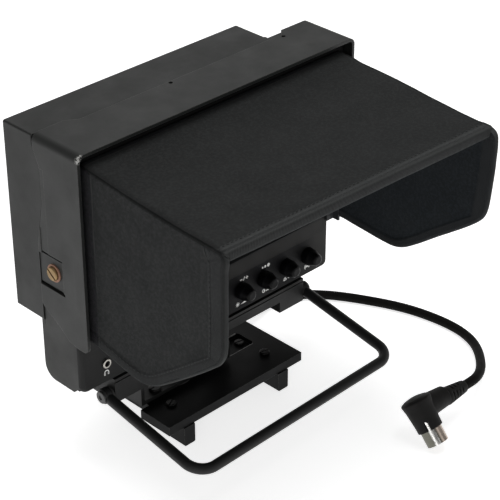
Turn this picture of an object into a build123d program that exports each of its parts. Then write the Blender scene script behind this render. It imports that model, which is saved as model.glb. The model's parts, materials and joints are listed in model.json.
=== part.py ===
from build123d import *
import os
import math

# A studio camera viewfinder on its pan-and-tilt shoe: a flat monitor head with
# a sheet-metal visor, a fabric hood, four rotary controls and a headphone
# socket, carried by a tilt bracket with a swinging bail handle, a sheet yoke
# that pans on a hollow bolt, and a mount plate on two rails.  A short cable
# with a right-angle round plug leaves the mount and lies on the surface.
#
# Millimetres.  +X is to the right as seen by a person facing the screen, +Y
# points away from that person, +Z is up.  The origin is on the surface that
# the rails stand on, under the middle of the object's box (cable left out).

os.makedirs("parts", exist_ok=True)

# ------------------------------------------------------------ driving sizes
VISOR_HALF = 110.0        # half of the visor's outer width
VISOR_T = 2.0             # visor sheet
VISOR_TOP = 218.8
VISOR_FRONT = 24.15
VISOR_BEND = 4.6          # outer radius of the two bends

HOUSE_X0, HOUSE_X1 = -109.5, 72.9      # rear housing
HOUSE_Y0, HOUSE_Y1 = 64.3, 89.0
HOUSE_Z0, HOUSE_Z1 = 95.7, 217.9
WALL = 2.0

BODY_X0, BODY_X1 = -108.7, 97.2        # control housing, under the screen
BODY_Y0, BODY_Y1 = 39.6, 67.2
BODY_Z0, BODY_Z1 = 57.8, 92.6       # underside over the bracket, top
BODY_ZB = 55.3                         # underside at both ends, beside the bracket
BODY_R = 9.0
CHEEK_Y = 36.0                         # front edge of its left cheek

SCREEN_HALF = 107.8                    # screen housing, inside the visor
SCREEN_Z0, SCREEN_Z1 = 92.8, 216.5
SCREEN_Y0, SCREEN_Y1 = 39.2, 64.2

BEZEL_Y0, BEZEL_Y1 = 31.1, 39.0
STRIP_Y = 31.9                         # control strip, set back from the bezel
STRIP_TOP = 85.6
BEZEL_Z0 = 57.0
GLASS_HALF_W, GLASS_Z0, GLASS_Z1 = 92.0, 98.3, 201.8   # visible screen

HOOD_HALF = 104.5
HOOD_T = 2.4
HOOD_Y_REAR = 30.8
HOOD_A = (HOOD_Y_REAR, 209.4)          # top, at the bezel
HOOD_B = (-83.1, 201.4)                # top front
HOOD_C = (-89.3, 139.1)                # front lower corner
HOOD_D = (-24.4, 89.6)                 # bottom corner
HOOD_E = (HOOD_Y_REAR, 92.9)           # bottom rear
HEM_W = 14.0

KNOB_X = (19.5, 39.2, 59.0, 78.8)
KNOB_Z = 73.2
KNOB_R = 5.6
KNOB_Y0, KNOB_Y1 = 21.4, 31.4          # front face, back face
SHAFT_R = 3.0

JACK_X, JACK_Z, JACK_R = -91.1, 72.1, 1.78

LUG_L = (-85.2, -63.7)                 # bracket lugs, left and right
LUG_R = (54.4, 75.9)
LUG_Z0 = 39.9
BRACKET_Y0, BRACKET_Y1 = 31.9, 62.0
TILT_Y, TILT_Z = 51.65, 46.5           # tilt axis
TILT_R = 3.0

BAIL_Y, BAIL_Z = 36.8, 45.2            # bail pivot axis
BAIL_ROD_R = 3.35
BAIL_X0, BAIL_X1 = -88.9, 79.6         # centre lines of the two arms
BAIL_FRONT_L = (-45.0, 30.9)            # (y, z) of the front bar at its left end
BAIL_FRONT_R = (-42.4, 31.3)            # and at its right end
BAIL_BEND = 12.0
HUB_R = 4.9
PIVOT_R = 2.2

PLATE_X0, PLATE_X1 = -61.6, 53.4
PLATE_Y0, PLATE_Y1 = 11.2, 88.1
PLATE_Z0, PLATE_Z1 = 13.6, 19.9
RAIL_L = (-49.9, -41.2)
RAIL_R = (31.8, 40.4)
RAIL_Y0 = 10.4
RELIEF_Y0, RELIEF_Y1, RELIEF_Z = 47.0, 79.0, 9.8     # the rails stand on two pads each

YOKE_X0, YOKE_X1 = -60.5, 14.7
YOKE_Y0, YOKE_Y1 = 37.4, 66.0
YOKE_Z0, YOKE_T = 22.0, 2.6
PAN_X, PAN_Y = -22.9, 51.65
PAN_R = 5.0

CABLE_D = 6.3
PLUG_SHELL_R = 7.0
PLUG_NECK_R = 6.7                                         # the shell's part inside the moulding
PLUG_BORE_R = 6.3
SHELL_IN, SHELL_OUT = 6.0, 10.0
RELIEF_TURN = 32


# ------------------------------------------------------------------ helpers
def slab(x0, x1, y0, y1, z0, z1):
    return Pos((x0 + x1) / 2, (y0 + y1) / 2, (z0 + z1) / 2) * Box(x1 - x0, y1 - y0, z1 - z0)


def rod_x(y, z, r, x0, x1):
    return Pos((x0 + x1) / 2, y, z) * Rot(0, 90, 0) * Cylinder(r, x1 - x0)


def rod_y(x, z, r, y0, y1):
    return Pos(x, (y0 + y1) / 2, z) * Rot(90, 0, 0) * Cylinder(r, y1 - y0)


def rod_z(x, y, r, z0, z1):
    return Pos(x, y, (z0 + z1) / 2) * Cylinder(r, z1 - z0)


def prism_x(pts, x0, x1, rounds=()):
    """Outline in (y, z) pushed from x0 to x1; rounds are (point, radius)."""
    face = Polygon(*pts, align=None)
    for (py, pz), r in rounds:
        near = [v for v in face.vertices() if abs(v.X - py) < 0.01 and abs(v.Y - pz) < 0.01]
        face = fillet(near, r)
    return Pos(x0, 0, 0) * extrude(Plane.YZ * face, x1 - x0, dir=(1, 0, 0))


def prism_z(pts, z0, z1, rounds=()):
    face = Polygon(*pts, align=None)
    for (px, py), r in rounds:
        near = [v for v in face.vertices() if abs(v.X - px) < 0.01 and abs(v.Y - py) < 0.01]
        face = fillet(near, r)
    return Pos(0, 0, z0) * extrude(face, z1 - z0, dir=(0, 0, 1))


def edges_at(shape, axis, **want):
    """Edges parallel to axis whose centre has the wanted coordinates."""
    got = []
    for e in shape.edges().filter_by(axis):
        c = e.center()
        if all(abs(getattr(c, k) - v) < 0.05 for k, v in want.items()):
            got.append(e)
    return got


def group(solids):
    out = solids[0]
    for s in solids[1:]:
        out = out + s
    return out


def save(name, shape):
    export_step(shape, "parts/" + name + ".step")


# ------------------------------------------------------------- visor frame
# One sheet folded over the top and both sides.  The rear edge has corner tabs
# and is cut back between them; each side has a lanced, set-back strip with
# the fixing screw between two slots.
FLANGE = [(VISOR_FRONT, VISOR_TOP + 1), (63.1, VISOR_TOP + 1), (63.1, 211.5), (58.5, 200.5),
          (58.5, 176.6), (64.0, 147.3), (64.0, 108.8), (61.7, 106.0), (48.9, 98.7),
          (40.65, 92.0), (32.4, 90.5), (VISOR_FRONT, 90.5)]
outer = slab(-VISOR_HALF, VISOR_HALF, VISOR_FRONT, 64.0, 80.0, VISOR_TOP)
outer = fillet(edges_at(outer, Axis.Y, Z=VISOR_TOP), VISOR_BEND)
inner = slab(-VISOR_HALF + VISOR_T, VISOR_HALF - VISOR_T, 20.0, 70.0, 70.0, VISOR_TOP - VISOR_T)
inner = fillet(edges_at(inner, Axis.Y, Z=VISOR_TOP - VISOR_T), VISOR_BEND - VISOR_T)
visor = outer - inner
side_mask = prism_x(FLANGE, -130, 130, [((VISOR_FRONT, 90.5), 4.0), ((63.1, 211.5), 1.5)])
visor = visor & side_mask
visor = visor - prism_z([(-79.8, 58.2), (81.2, 58.2), (85.7, 63.5), (85.7, 80), (-88.0, 80), (-88.0, 63.5)],
                        210, 230)
SCREW_Y, SCREW_Z = 51.6, 133.6
for s in (-1, 1):
    xo, xi = s * (VISOR_HALF + 1), s * (VISOR_HALF - 4)
    a, b = min(xo, xi), max(xo, xi)
    visor = visor - slab(a, b, 43.0, 61.4, 143.1, 144.8)
    visor = visor - slab(a, b, 41.9, 66.0, 121.7, 123.5)
    # the strip between the slots, set in by half of the sheet
    c, d = sorted((s * (VISOR_HALF + 1), s * (VISOR_HALF - 1.0)))
    visor = visor - slab(c, d, 43.0, 66.0, 123.4, 143.2)
    # long shallow pressing behind the strip
    c, d = sorted((s * (VISOR_HALF + 1), s * (VISOR_HALF - 0.4)))
    visor = visor - slab(c, d, 55.1, 61.6, 144.7, 199.0)
    visor = visor - rod_x(SCREW_Y, SCREW_Z, 2.1, a, b)
for hx, hy in ((-12.4, 56.4), (80.0, 55.6)):
    visor = visor - rod_z(hx, hy, 1.35, 210, 230)
save("visor_frame", visor)

# brass fixing screws and their fibre washers
visor_screws, fibre = [], []
for s in (-1, 1):
    lo, hi = sorted((s * (VISOR_HALF - 1.0 + 0.8), s * (VISOR_HALF - 1.0 + 2.6)))
    head = rod_x(SCREW_Y, SCREW_Z, 4.4, lo, hi)
    rim = [e for e in head.edges() if abs(abs(e.center().X) - (VISOR_HALF + 1.6)) < 0.02]
    head = fillet(rim, 0.9)
    lo, hi = sorted((s * (VISOR_HALF + 1.0), s * (VISOR_HALF + 2.5)))
    slot = Pos((lo + hi) / 2, SCREW_Y, SCREW_Z) * Rot(38, 0, 0) * Box(hi - lo, 10.0, 1.1)
    lo, hi = sorted((s * (VISOR_HALF - 10.0), s * (VISOR_HALF - 0.2)))
    shank = rod_x(SCREW_Y, SCREW_Z, 1.95, lo, hi)
    visor_screws.append(head + shank - slot)
    lo, hi = sorted((s * (VISOR_HALF - 1.0), s * (VISOR_HALF - 0.2)))
    fibre.append(rod_x(SCREW_Y, SCREW_Z, 5.6, lo, hi) - rod_x(SCREW_Y, SCREW_Z, 2.05, lo - 1, hi + 1))
save("visor_screws", group(visor_screws))
save("visor_washers", group(fibre))

# ------------------------------------------------------------ rear housing
house = slab(HOUSE_X0, HOUSE_X1, HOUSE_Y0, HOUSE_Y1, HOUSE_Z0, HOUSE_Z1)
house = fillet(edges_at(house, Axis.Y, Z=HOUSE_Z1) + edges_at(house, Axis.Y, Z=HOUSE_Z0), 1.2)
house = house - slab(HOUSE_X0 + WALL, HOUSE_X1 - WALL, HOUSE_Y0 - 1, HOUSE_Y1 + 1, HOUSE_Z0 + WALL, HOUSE_Z1 - WALL)
# corner posts that the rear cover is screwed to
POSTS = [(x, z) for x in (HOUSE_X0 + 8, HOUSE_X1 - 8) for z in (HOUSE_Z0 + 8, HOUSE_Z1 - 8)] + \
        [((HOUSE_X0 + HOUSE_X1) / 2, z) for z in (HOUSE_Z0 + 6.5, HOUSE_Z1 - 6.5)]
for x, z in POSTS:
    zs = -1 if z < 150 else 1
    post = rod_y(x, z, 4.0, 74.0, 85.9)
    web = slab(x - 2, x + 2, 74.0, 85.9, *sorted((z, (HOUSE_Z0 + 1 if zs < 0 else HOUSE_Z1 - 1))))
    house = house + post + web
for x, z in POSTS:
    house = house - rod_y(x, z, 1.3, 76.0, 86.5)
# front lip that closes the joint behind the visor, at the top and the left
house = house + prism_z([(-87.6, 63.9), (-79.5, 58.6), (HOUSE_X1, 58.6), (HOUSE_X1, 64.6), (-109.0, 64.6), (-109.0, 63.9)],
                        216.7, HOUSE_Z1)
house = house + prism_x([(64.6, 211.0), (63.9, 211.0), (58.8, 200.4), (58.8, 176.7), (64.2, 148.0), (64.6, 148.0)],
                        HOUSE_X0, -108.0)
save("rear_housing", house)

cover = slab(HOUSE_X0 + WALL + 0.2, HOUSE_X1 - WALL - 0.2, 86.0, HOUSE_Y1 - 0.1,
             HOUSE_Z0 + WALL + 0.2, HOUSE_Z1 - WALL - 0.2)
cover = fillet(cover.edges().filter_by(Axis.Y), 1.5)
for i in range(9):
    z = 122.0 + i * 8.0
    for x0 in (-86.0, 8.0):
        s = slab(x0, x0 + 42.0, 85.0, 90.0, z, z + 3.0)
        cover = cover - fillet(s.edges().filter_by(Axis.Y), 1.45)
for x, z in POSTS:
    cover = cover - rod_y(x, z, 1.7, 85, 90) - rod_y(x, z, 3.1, 86.9, 90)
save("rear_cover", cover)

cover_screws = []
for x, z in POSTS:
    s = rod_y(x, z, 2.9, 86.95, 88.0) + rod_y(x, z, 1.25, 77.0, 87.2)
    s = s - slab(x - 1.9, x + 1.9, 87.5, 88.5, z - 0.35, z + 0.35) - slab(x - 0.35, x + 0.35, 87.5, 88.5, z - 1.9, z + 1.9)
    cover_screws.append(s)
save("rear_cover_screws", group(cover_screws))

# ---------------------------------------------------------- screen housing
screen = slab(-SCREEN_HALF, SCREEN_HALF, SCREEN_Y0, SCREEN_Y1, SCREEN_Z0, SCREEN_Z1)
screen = fillet(edges_at(screen, Axis.Y, Z=SCREEN_Z1), 2.4)
screen = screen - slab(-SCREEN_HALF + WALL, SCREEN_HALF - WALL, SCREEN_Y0 - 1, SCREEN_Y1 - WALL,
                       SCREEN_Z0 + WALL, SCREEN_Z1 - WALL)
screen = screen - slab(-88, 53, SCREEN_Y1 - 5, SCREEN_Y1 + 1, 115, 198)       # way to the rear housing
for s in (-1, 1):
    lo, hi = sorted((s * (SCREEN_HALF - 9.3), s * (SCREEN_HALF - 1.0)))
    screen = screen + rod_x(SCREW_Y, SCREW_Z, 4.6, lo, hi)
    lo, hi = sorted((s * (SCREEN_HALF - 10), s * (SCREEN_HALF + 1.0)))
    screen = screen - rod_x(SCREW_Y, SCREW_Z, 2.0, lo, hi)
BOARD_PEGS = [(-92, 108), (57, 108), (-92, 205), (57, 205)]
for x, z in BOARD_PEGS:
    screen = screen - rod_y(x, z, 1.55, 60, 66)
save("screen_housing", screen)

# ------------------------------------------------------------- front bezel
up = slab(-SCREEN_HALF, SCREEN_HALF, BEZEL_Y0, BEZEL_Y1, BODY_Z1, SCREEN_Z1)
up = fillet(edges_at(up, Axis.Y, Z=SCREEN_Z1), 2.4)
low = slab(BODY_X0 - 0.7, BODY_X1, BEZEL_Y0, BEZEL_Y1, BEZEL_Z0, BODY_Z1)
low = fillet(edges_at(low, Axis.Z, X=BODY_X0 - 0.7, Y=BEZEL_Y0), 4.5)
low = fillet(edges_at(low, Axis.Z, X=BODY_X1, Y=BEZEL_Y0), 2.0)
low = fillet(edges_at(low, Axis.Y, X=BODY_X1, Z=BEZEL_Z0), 5.0)
low = low - slab(BODY_X0 - 5, BODY_X1 + 5, BEZEL_Y0 - 1, STRIP_Y, BEZEL_Z0 - 1, STRIP_TOP)
low = low - slab(BODY_X0 - 5, BODY_X0 + 2.2, CHEEK_Y - 0.3, 45, BEZEL_Z0 - 1, BODY_Z1 - 0.3)
flange_room = prism_x([(20, 230), (70, 230), (70, 108.0), (62.0, 105.4), (49.2, 98.1), (41.0, 91.5), (32.6, 90.0), (20, 90.0)],
                      -120, -SCREEN_HALF)
bezel = (up + low) - flange_room
# hollow behind, leaving a rim
bezel = bezel - slab(-SCREEN_HALF + 2.4, SCREEN_HALF - 2.4, 34.1, 45, 95.0, SCREEN_Z1 - 2.4)
bezel = bezel - slab(BODY_X0 + 2.2, BODY_X1 - 2.4, 34.1, 45, BEZEL_Z0 + 2.4, 92.2)
bezel = bezel - slab(-GLASS_HALF_W, GLASS_HALF_W, 25, 45, GLASS_Z0, GLASS_Z1)
# sloping reveal round the screen
reveal = Plane.XZ.offset(-BEZEL_Y0) * Pos(0, (GLASS_Z0 + GLASS_Z1) / 2)
reveal = loft([reveal * Rectangle(2 * GLASS_HALF_W + 4, GLASS_Z1 - GLASS_Z0 + 4),
               Plane.XZ.offset(-(BEZEL_Y0 + 2.0)) * Pos(0, (GLASS_Z0 + GLASS_Z1) / 2) * Rectangle(2 * GLASS_HALF_W, GLASS_Z1 - GLASS_Z0)])
bezel = bezel - reveal
for x in KNOB_X:
    bezel = bezel - rod_y(x, KNOB_Z, 3.4, 25, 45)
bezel = bezel - rod_y(JACK_X, JACK_Z, 2.6, 25, 45)
save("front_bezel", bezel)

# screen stack
save("screen_glass", slab(-96, 96, 34.2, 36.2, 95.6, 204.6))
save("lcd_panel", slab(-96, 96, 36.3, 40.8, 95.6, 204.6))
light = slab(-97, 97, 40.9, 47.0, 95.4, 205.0)
light = light - slab(-90, 90, 45.0, 48, 101, 199)
save("backlight_unit", light)
strap = []
for x in (-70.0, 70.0):
    s = slab(x - 7, x + 7, 47.1, 48.4, 96.0, 212.0) + slab(x - 7, x + 7, 47.1, 62.1, 210.7, 212.0)
    strap.append(s)
save("panel_straps", group(strap))

# boards
board = slab(-95, 60, 70.0, 71.6, 104, 209)
for x, z in BOARD_PEGS:
    board = board - rod_y(x, z, 1.6, 69, 73)
chips = [(-60, 150, 26, 26, 2.4), (-10, 170, 18, 18, 2.0), (20, 140, 30, 12, 3.0), (-40, 120, 14, 8, 5.0), (30, 185, 22, 10, 2.2)]
for x, z, w, h, t in chips:
    board = board + slab(x - w / 2, x + w / 2, 71.6, 71.6 + t, z - h / 2, z + h / 2)
save("main_board", board)
pegs = []
for x, z in BOARD_PEGS:
    p = rod_y(x, z, 2.8, 64.25, 69.95) + rod_y(x, z, 1.5, 60.5, 64.25) + rod_y(x, z, 1.5, 69.95, 73.0)
    pegs.append(p)
save("board_standoffs", group(pegs))

# --------------------------------------------------------- control housing
body = slab(BODY_X0, BODY_X1, BODY_Y0, BODY_Y1, BODY_ZB, BODY_Z1)
body = fillet(edges_at(body, Axis.X, Y=BODY_Y1, Z=BODY_ZB), BODY_R)
body = fillet(edges_at(body, Axis.Y, X=BODY_X1, Z=BODY_ZB), 5.0)
body = body - prism_x([(BODY_Y0 - 1, BODY_ZB - 1), (BODY_Y0 + 1.4, BODY_ZB - 1), (BODY_Y0 + 1.4, BODY_ZB), (BODY_Y0 - 1, BODY_ZB + 2.6)],
                      BODY_X0 - 1, BODY_X1 + 1)
core = slab(BODY_X0 + WALL, BODY_X1 - WALL, BODY_Y0 - 1, BODY_Y1 - WALL, BODY_ZB + WALL, BODY_Z1 - WALL)
core = fillet(edges_at(core, Axis.X, Y=BODY_Y1 - WALL, Z=BODY_ZB + WALL), BODY_R - WALL)
# the bracket lies in a recess of the underside
SEAT = (LUG_L[0] - 0.8, LUG_R[1] + 0.8, BRACKET_Y1 + 0.8)
core = core - slab(SEAT[0] - WALL, SEAT[1] + WALL, BODY_Y0 - 2, SEAT[2] + WALL, BODY_ZB, BODY_Z0 + WALL)
body = body - core
body = body - slab(SEAT[0], SEAT[1], BODY_Y0 - 1, SEAT[2], BODY_ZB - 1, BODY_Z0)
body = body + slab(BODY_X0, BODY_X0 + WALL, CHEEK_Y, BODY_Y0 + 0.5, BEZEL_Z0 + 1.2, BODY_Z1 - 0.6)
# lip that closes the joint under the visor's left side
body = body + slab(BODY_X0, -SCREEN_HALF - 0.1, 41.0, HOUSE_Y0 - 0.3, BODY_Z1 - 1.0, 107.0)
body = body + slab(BODY_X0, BODY_X1 - 1.0, SCREEN_Y1 + 0.2, BODY_Y1, BODY_Z1 - 1.0, HOUSE_Z0 - 0.05)
body = body - flange_room
BRACKET_SCREWS = [(-38, 44.5), (-38, 58.5), (29, 44.5), (29, 58.5)]
for x, y in BRACKET_SCREWS:
    body = body + rod_z(x, y, 4.0, BODY_Z0 + 0.5, BODY_Z0 + 6)
    body = body - rod_z(x, y, 1.8, BODY_Z0 - 1, BODY_Z0 + 5.4)
save("control_housing", body)

# controls: four rotary pots on one board
cboard = slab(-98, 90, 46.1, 47.7, 65.0, 86.5)
for x in KNOB_X:
    cboard = cboard - rod_y(x, KNOB_Z, 3.3, 45, 49)
save("control_board", cboard)
pots, nuts = [], []
for x in KNOB_X:
    pots.append(rod_y(x, KNOB_Z, 7.6, 37.0, 46.0) + slab(x - 5, x + 5, 39.0, 46.0, KNOB_Z - 9.6, KNOB_Z)
                - rod_y(x, KNOB_Z, SHAFT_R + 0.05, 36, 47))
    nuts.append(rod_y(x, KNOB_Z, 4.6, 34.2, 36.9) - rod_y(x, KNOB_Z, SHAFT_R + 0.12, 34, 37.5))
save("potentiometers", group(pots))
save("pot_nuts", group(nuts))

for i, x in enumerate(KNOB_X):
    shaft = rod_y(x, KNOB_Z, SHAFT_R, 24.6, 45.9)
    save("pot_shaft_%d" % (i + 1), shaft)
    profile = Polygon((0, KNOB_Y0), (2.5, KNOB_Y0), (3.3, 21.7), (3.85, 22.3), (4.15, 23.2), (5.15, 26.3),
                      (5.45, 26.8), (KNOB_R, 27.5), (KNOB_R, KNOB_Y1), (0, KNOB_Y1), align=None)
    knob = Pos(x, 0, KNOB_Z) * revolve(Plane.XY * profile, Axis.Y)
    knob = knob - rod_y(x, KNOB_Z, SHAFT_R + 0.01, 24.59, KNOB_Y1 + 1)
    save("knob_%d" % (i + 1), knob)

# headphone socket
jack = slab(JACK_X - 5.2, JACK_X + 5.2, 34.3, 46.0, JACK_Z - 4.2, JACK_Z + 4.2) + rod_y(JACK_X, JACK_Z, 2.5, 31.25, 34.5)
jack = jack - rod_y(JACK_X, JACK_Z, JACK_R, 30, 45.0)
save("headphone_socket", jack)
ring = rod_y(JACK_X, JACK_Z, 3.05, 30.5, STRIP_Y - 0.02)
ring = fillet([e for e in ring.edges() if abs(e.center().Y - 30.5) < 0.02], 0.4)
ring = ring - rod_y(JACK_X, JACK_Z, 1.95, 30, 33) - rod_y(JACK_X, JACK_Z, 2.52, 31.2, 33)
save("socket_ring", ring)

# --------------------------------------------------------------------- hood
# three stitched panels; the rear edges stand on the bezel, held by a frame
def hood_top_z(y, down=0.0):
    (y0, z0), (y1, z1) = HOOD_A, HOOD_B
    return z0 + (z1 - z0) * (y - y0) / (y1 - y0) - down


top = prism_x([(HOOD_Y_REAR, hood_top_z(HOOD_Y_REAR)), (HOOD_B[0], hood_top_z(HOOD_B[0])),
               (HOOD_B[0], hood_top_z(HOOD_B[0]) - HOOD_T), (HOOD_Y_REAR, hood_top_z(HOOD_Y_REAR) - HOOD_T)],
              -HOOD_HALF, HOOD_HALF)
save("hood_top_panel", top)
side = [(HOOD_Y_REAR, hood_top_z(HOOD_Y_REAR, HOOD_T + 0.3)), (HOOD_B[0], hood_top_z(HOOD_B[0], HOOD_T + 0.3)),
        (HOOD_B[0] - 5.3, hood_top_z(HOOD_B[0]) - 8.5), HOOD_C, HOOD_D, HOOD_E]
sides = []
for s in (-1, 1):
    lo, hi = sorted((s * HOOD_HALF, s * (HOOD_HALF - HOOD_T)))
    sides.append(prism_x(side, lo, hi, [(HOOD_C, 10.0), (HOOD_D, 14.0)]))
save("hood_side_panels", group(sides))
FR = 101.8
frame = slab(-FR, FR, 25.0, 31.0, 92.9, 204.2) - slab(-FR + 1.5, FR - 1.5, 20, 29.6, 80, 202.7) \
    - slab(-FR + 7, FR - 7, 20, 40, 80, 202.2)
save("hood_frame", frame)

# ------------------------------------------------------------ tilt bracket
BT = BODY_Z0 - 0.1
bracket = slab(LUG_L[0], LUG_R[1], 39.4, BRACKET_Y1, BT - 2.4, BT)
bracket = bracket + slab(LUG_L[0], LUG_R[1], BRACKET_Y0, 39.5, BT - 2.4, BEZEL_Z0 - 0.1)
bracket = bracket + slab(LUG_L[0], LUG_R[1], BRACKET_Y0, BRACKET_Y0 + 3.5, 47.9, BEZEL_Z0 - 0.1)
for a, b in (LUG_L, LUG_R):
    lug = slab(a, b, BRACKET_Y0, BRACKET_Y1, LUG_Z0, BT - 2.0)
    lug = lug - slab(a + 3.5, b - 3.5, BRACKET_Y0 + 3.5, BRACKET_Y1 - 3.5, LUG_Z0 - 1, LUG_Z0 + 2.0)
    bracket = bracket + lug
bracket = bracket - slab(LUG_L[0] - 1, LUG_R[1] + 1, BRACKET_Y0 - 1, 39.4, BEZEL_Z0 - 0.1, BT + 1)
bracket = bracket - rod_x(TILT_Y, TILT_Z, TILT_R + 0.02, LUG_L[0] + 4, LUG_R[1] - 4)
bracket = bracket - rod_x(BAIL_Y, BAIL_Z, PIVOT_R + 0.02, LUG_L[0] - 1, LUG_L[0] + 11)
bracket = bracket - rod_x(BAIL_Y, BAIL_Z, PIVOT_R + 0.02, LUG_R[1] - 11, LUG_R[1] + 1)
for x, y in BRACKET_SCREWS:
    bracket = bracket - rod_z(x, y, 2.0, 50, 60)
# pressed line along the front
bracket = bracket - slab(LUG_L[0] - 1, LUG_R[1] + 1, BRACKET_Y0 - 1, BRACKET_Y0 + 0.8, 54.2, 55.0)
save("tilt_bracket", bracket)

bs = []
for x, y in BRACKET_SCREWS:
    s = rod_z(x, y, 3.4, BT - 2.45 - 1.8, BT - 2.45) + rod_z(x, y, 1.75, BT - 3, BT + 5.2)
    s = s - slab(x - 4, x + 4, y - 0.45, y + 0.45, BT - 5, BT - 3.6)
    bs.append(s)
save("bracket_screws", group(bs))

save("tilt_shaft", rod_x(TILT_Y, TILT_Z, TILT_R, LUG_L[0] + 4.1, LUG_R[1] - 4.1))
fric = [rod_x(TILT_Y, TILT_Z, 7.0, YOKE_X0 - 1.35, YOKE_X0 - 0.15) - rod_x(TILT_Y, TILT_Z, TILT_R + 0.05, -80, 0),
        rod_x(TILT_Y, TILT_Z, 7.0, YOKE_X1 + 0.15, YOKE_X1 + 1.35) - rod_x(TILT_Y, TILT_Z, TILT_R + 0.05, 0, 60)]
save("tilt_friction_washers", group(fric))
save("tilt_spring_washer", rod_x(TILT_Y, TILT_Z, 6.0, LUG_L[1] + 0.05, YOKE_X0 - 1.4) - rod_x(TILT_Y, TILT_Z, TILT_R + 0.1, -80, 0))
collar = rod_x(TILT_Y, TILT_Z, 6.5, YOKE_X1 + 1.4, YOKE_X1 + 9.4) - rod_x(TILT_Y, TILT_Z, TILT_R + 0.01, 0, 60)
save("tilt_collar", collar)

# --------------------------------------------------------------------- bail
path = FilletPolyline((BAIL_X0, BAIL_Y, BAIL_Z), (BAIL_X0, *BAIL_FRONT_L),
                      (BAIL_X1, *BAIL_FRONT_R), (BAIL_X1, BAIL_Y, BAIL_Z), radius=BAIL_BEND)
rod = sweep(Plane(path @ 0, z_dir=path % 0) * Circle(BAIL_ROD_R), path)
HUB_L = (BAIL_X0 - 2.6, LUG_L[0] - 1.0)
HUB_RR = (LUG_R[1] + 1.0, BAIL_X1 + 2.6)
rod = rod - rod_x(BAIL_Y, BAIL_Z, HUB_R, -130, 130)
save("bail_rod", rod)
hubs = []
for a, b in (HUB_L, HUB_RR):
    h = rod_x(BAIL_Y, BAIL_Z, HUB_R, a, b)
    h = chamfer([e for e in h.edges() if e.length > 20], 0.5)
    hubs.append(h - rod_x(BAIL_Y, BAIL_Z, PIVOT_R + 0.06, a - 1, b + 1))
save("bail_hubs", group(hubs))
pivots = []
for s, hub, lug in ((-1, HUB_L, LUG_L[0]), (1, HUB_RR, LUG_R[1])):
    out = hub[0] if s < 0 else hub[1]
    lo, hi = sorted((out + s * 0.1, out + s * 1.3))
    head = rod_x(BAIL_Y, BAIL_Z, 4.1, lo, hi)
    head = fillet([e for e in head.edges() if abs(e.center().X - (out + s * 1.3)) < 0.02], 0.6)
    head = head - rod_x(BAIL_Y, BAIL_Z, 1.6, *sorted((out + s * 0.7, out + s * 3.0)))
    lo, hi = sorted((out + s * 0.2, lug - s * 10.0))
    pivots.append(head + rod_x(BAIL_Y, BAIL_Z, PIVOT_R, lo, hi))
save("bail_pivots", group(pivots))
wash = []
for a, b in ((HUB_L[1] + 0.1, LUG_L[0] - 0.05), (LUG_R[1] + 0.05, HUB_RR[0] - 0.1)):
    wash.append(rod_x(BAIL_Y, BAIL_Z, 4.7, a, b) - rod_x(BAIL_Y, BAIL_Z, PIVOT_R + 0.04, a - 1, b + 1))
save("bail_washers", group(wash))

# --------------------------------------------------------------------- yoke
cheek = [(YOKE_Y0, YOKE_Z0), (YOKE_Y1, YOKE_Z0), (YOKE_Y1, 30.0), (TILT_Y + 8.5, TILT_Z), (TILT_Y - 8.5, TILT_Z),
         (YOKE_Y0, 33.5)]
yoke = slab(YOKE_X0, YOKE_X1, YOKE_Y0, YOKE_Y1, YOKE_Z0, YOKE_Z0 + YOKE_T)
for a, b in ((YOKE_X0, YOKE_X0 + YOKE_T), (YOKE_X1 - YOKE_T, YOKE_X1)):
    yoke = yoke + prism_x(cheek, a, b) + rod_x(TILT_Y, TILT_Z, 8.5, a, b)
    yoke = yoke - rod_x(TILT_Y, TILT_Z, 4.6, a - 1, b + 1)
yoke = yoke - rod_z(PAN_X, PAN_Y, PAN_R + 0.05, 10, 30)
# small screw on the base of the yoke
YS = (-45.2, 42.2)
yoke = yoke - rod_z(YS[0], YS[1], 1.9, 10, 30)
save("yoke", yoke)
bush = []
for a, b, f in ((YOKE_X0, YOKE_X0 + YOKE_T, 1), (YOKE_X1 - YOKE_T, YOKE_X1, -1)):
    fl = (b + 0.02, b + 1.6) if f > 0 else (a - 1.6, a - 0.02)
    k = rod_x(TILT_Y, TILT_Z, 4.58, a, b) + rod_x(TILT_Y, TILT_Z, 6.6, *fl)
    k = k + rod_x(TILT_Y, TILT_Z, 4.58, min(a, fl[0]), max(b, fl[1]))
    bush.append(k - rod_x(TILT_Y, TILT_Z, TILT_R + 0.05, a - 5, b + 5))
save("tilt_bushes", group(bush))
save("pan_thrust_washer", rod_z(PAN_X, PAN_Y, 13.0, PLATE_Z1 + 0.05, YOKE_Z0 - 0.05) - rod_z(PAN_X, PAN_Y, PAN_R + 0.1, 10, 30))
hexhead = Pos(PAN_X, PAN_Y, 8.2) * extrude(RegularPolygon(8.0, 6), 5.3)
bolt = hexhead + rod_z(PAN_X, PAN_Y, PAN_R, 8.2, 32.5)
bolt = bolt - rod_z(PAN_X, PAN_Y, 2.6, 5, 40)
save("pan_bolt", bolt)
nut = Pos(PAN_X, PAN_Y, YOKE_Z0 + YOKE_T + 0.08) * extrude(RegularPolygon(8.2, 6), 5.0)
save("pan_nut", nut - rod_z(PAN_X, PAN_Y, PAN_R + 0.02, 10, 40))
fs = rod_z(YS[0], YS[1], 4.0, YOKE_Z0 + YOKE_T, YOKE_Z0 + YOKE_T + 2.0) + rod_z(YS[0], YS[1], 1.88, PLATE_Z1 + 0.9, YOKE_Z0 + YOKE_T + 0.5)
fs = fillet([e for e in fs.edges() if abs(e.center().Z - (YOKE_Z0 + YOKE_T + 2.0)) < 0.02], 0.7)
fs = fs - slab(YS[0] - 5, YS[0] + 5, YS[1] - 0.5, YS[1] + 0.5, YOKE_Z0 + YOKE_T + 1.2, 30)
save("pan_friction_screw", fs)

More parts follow.
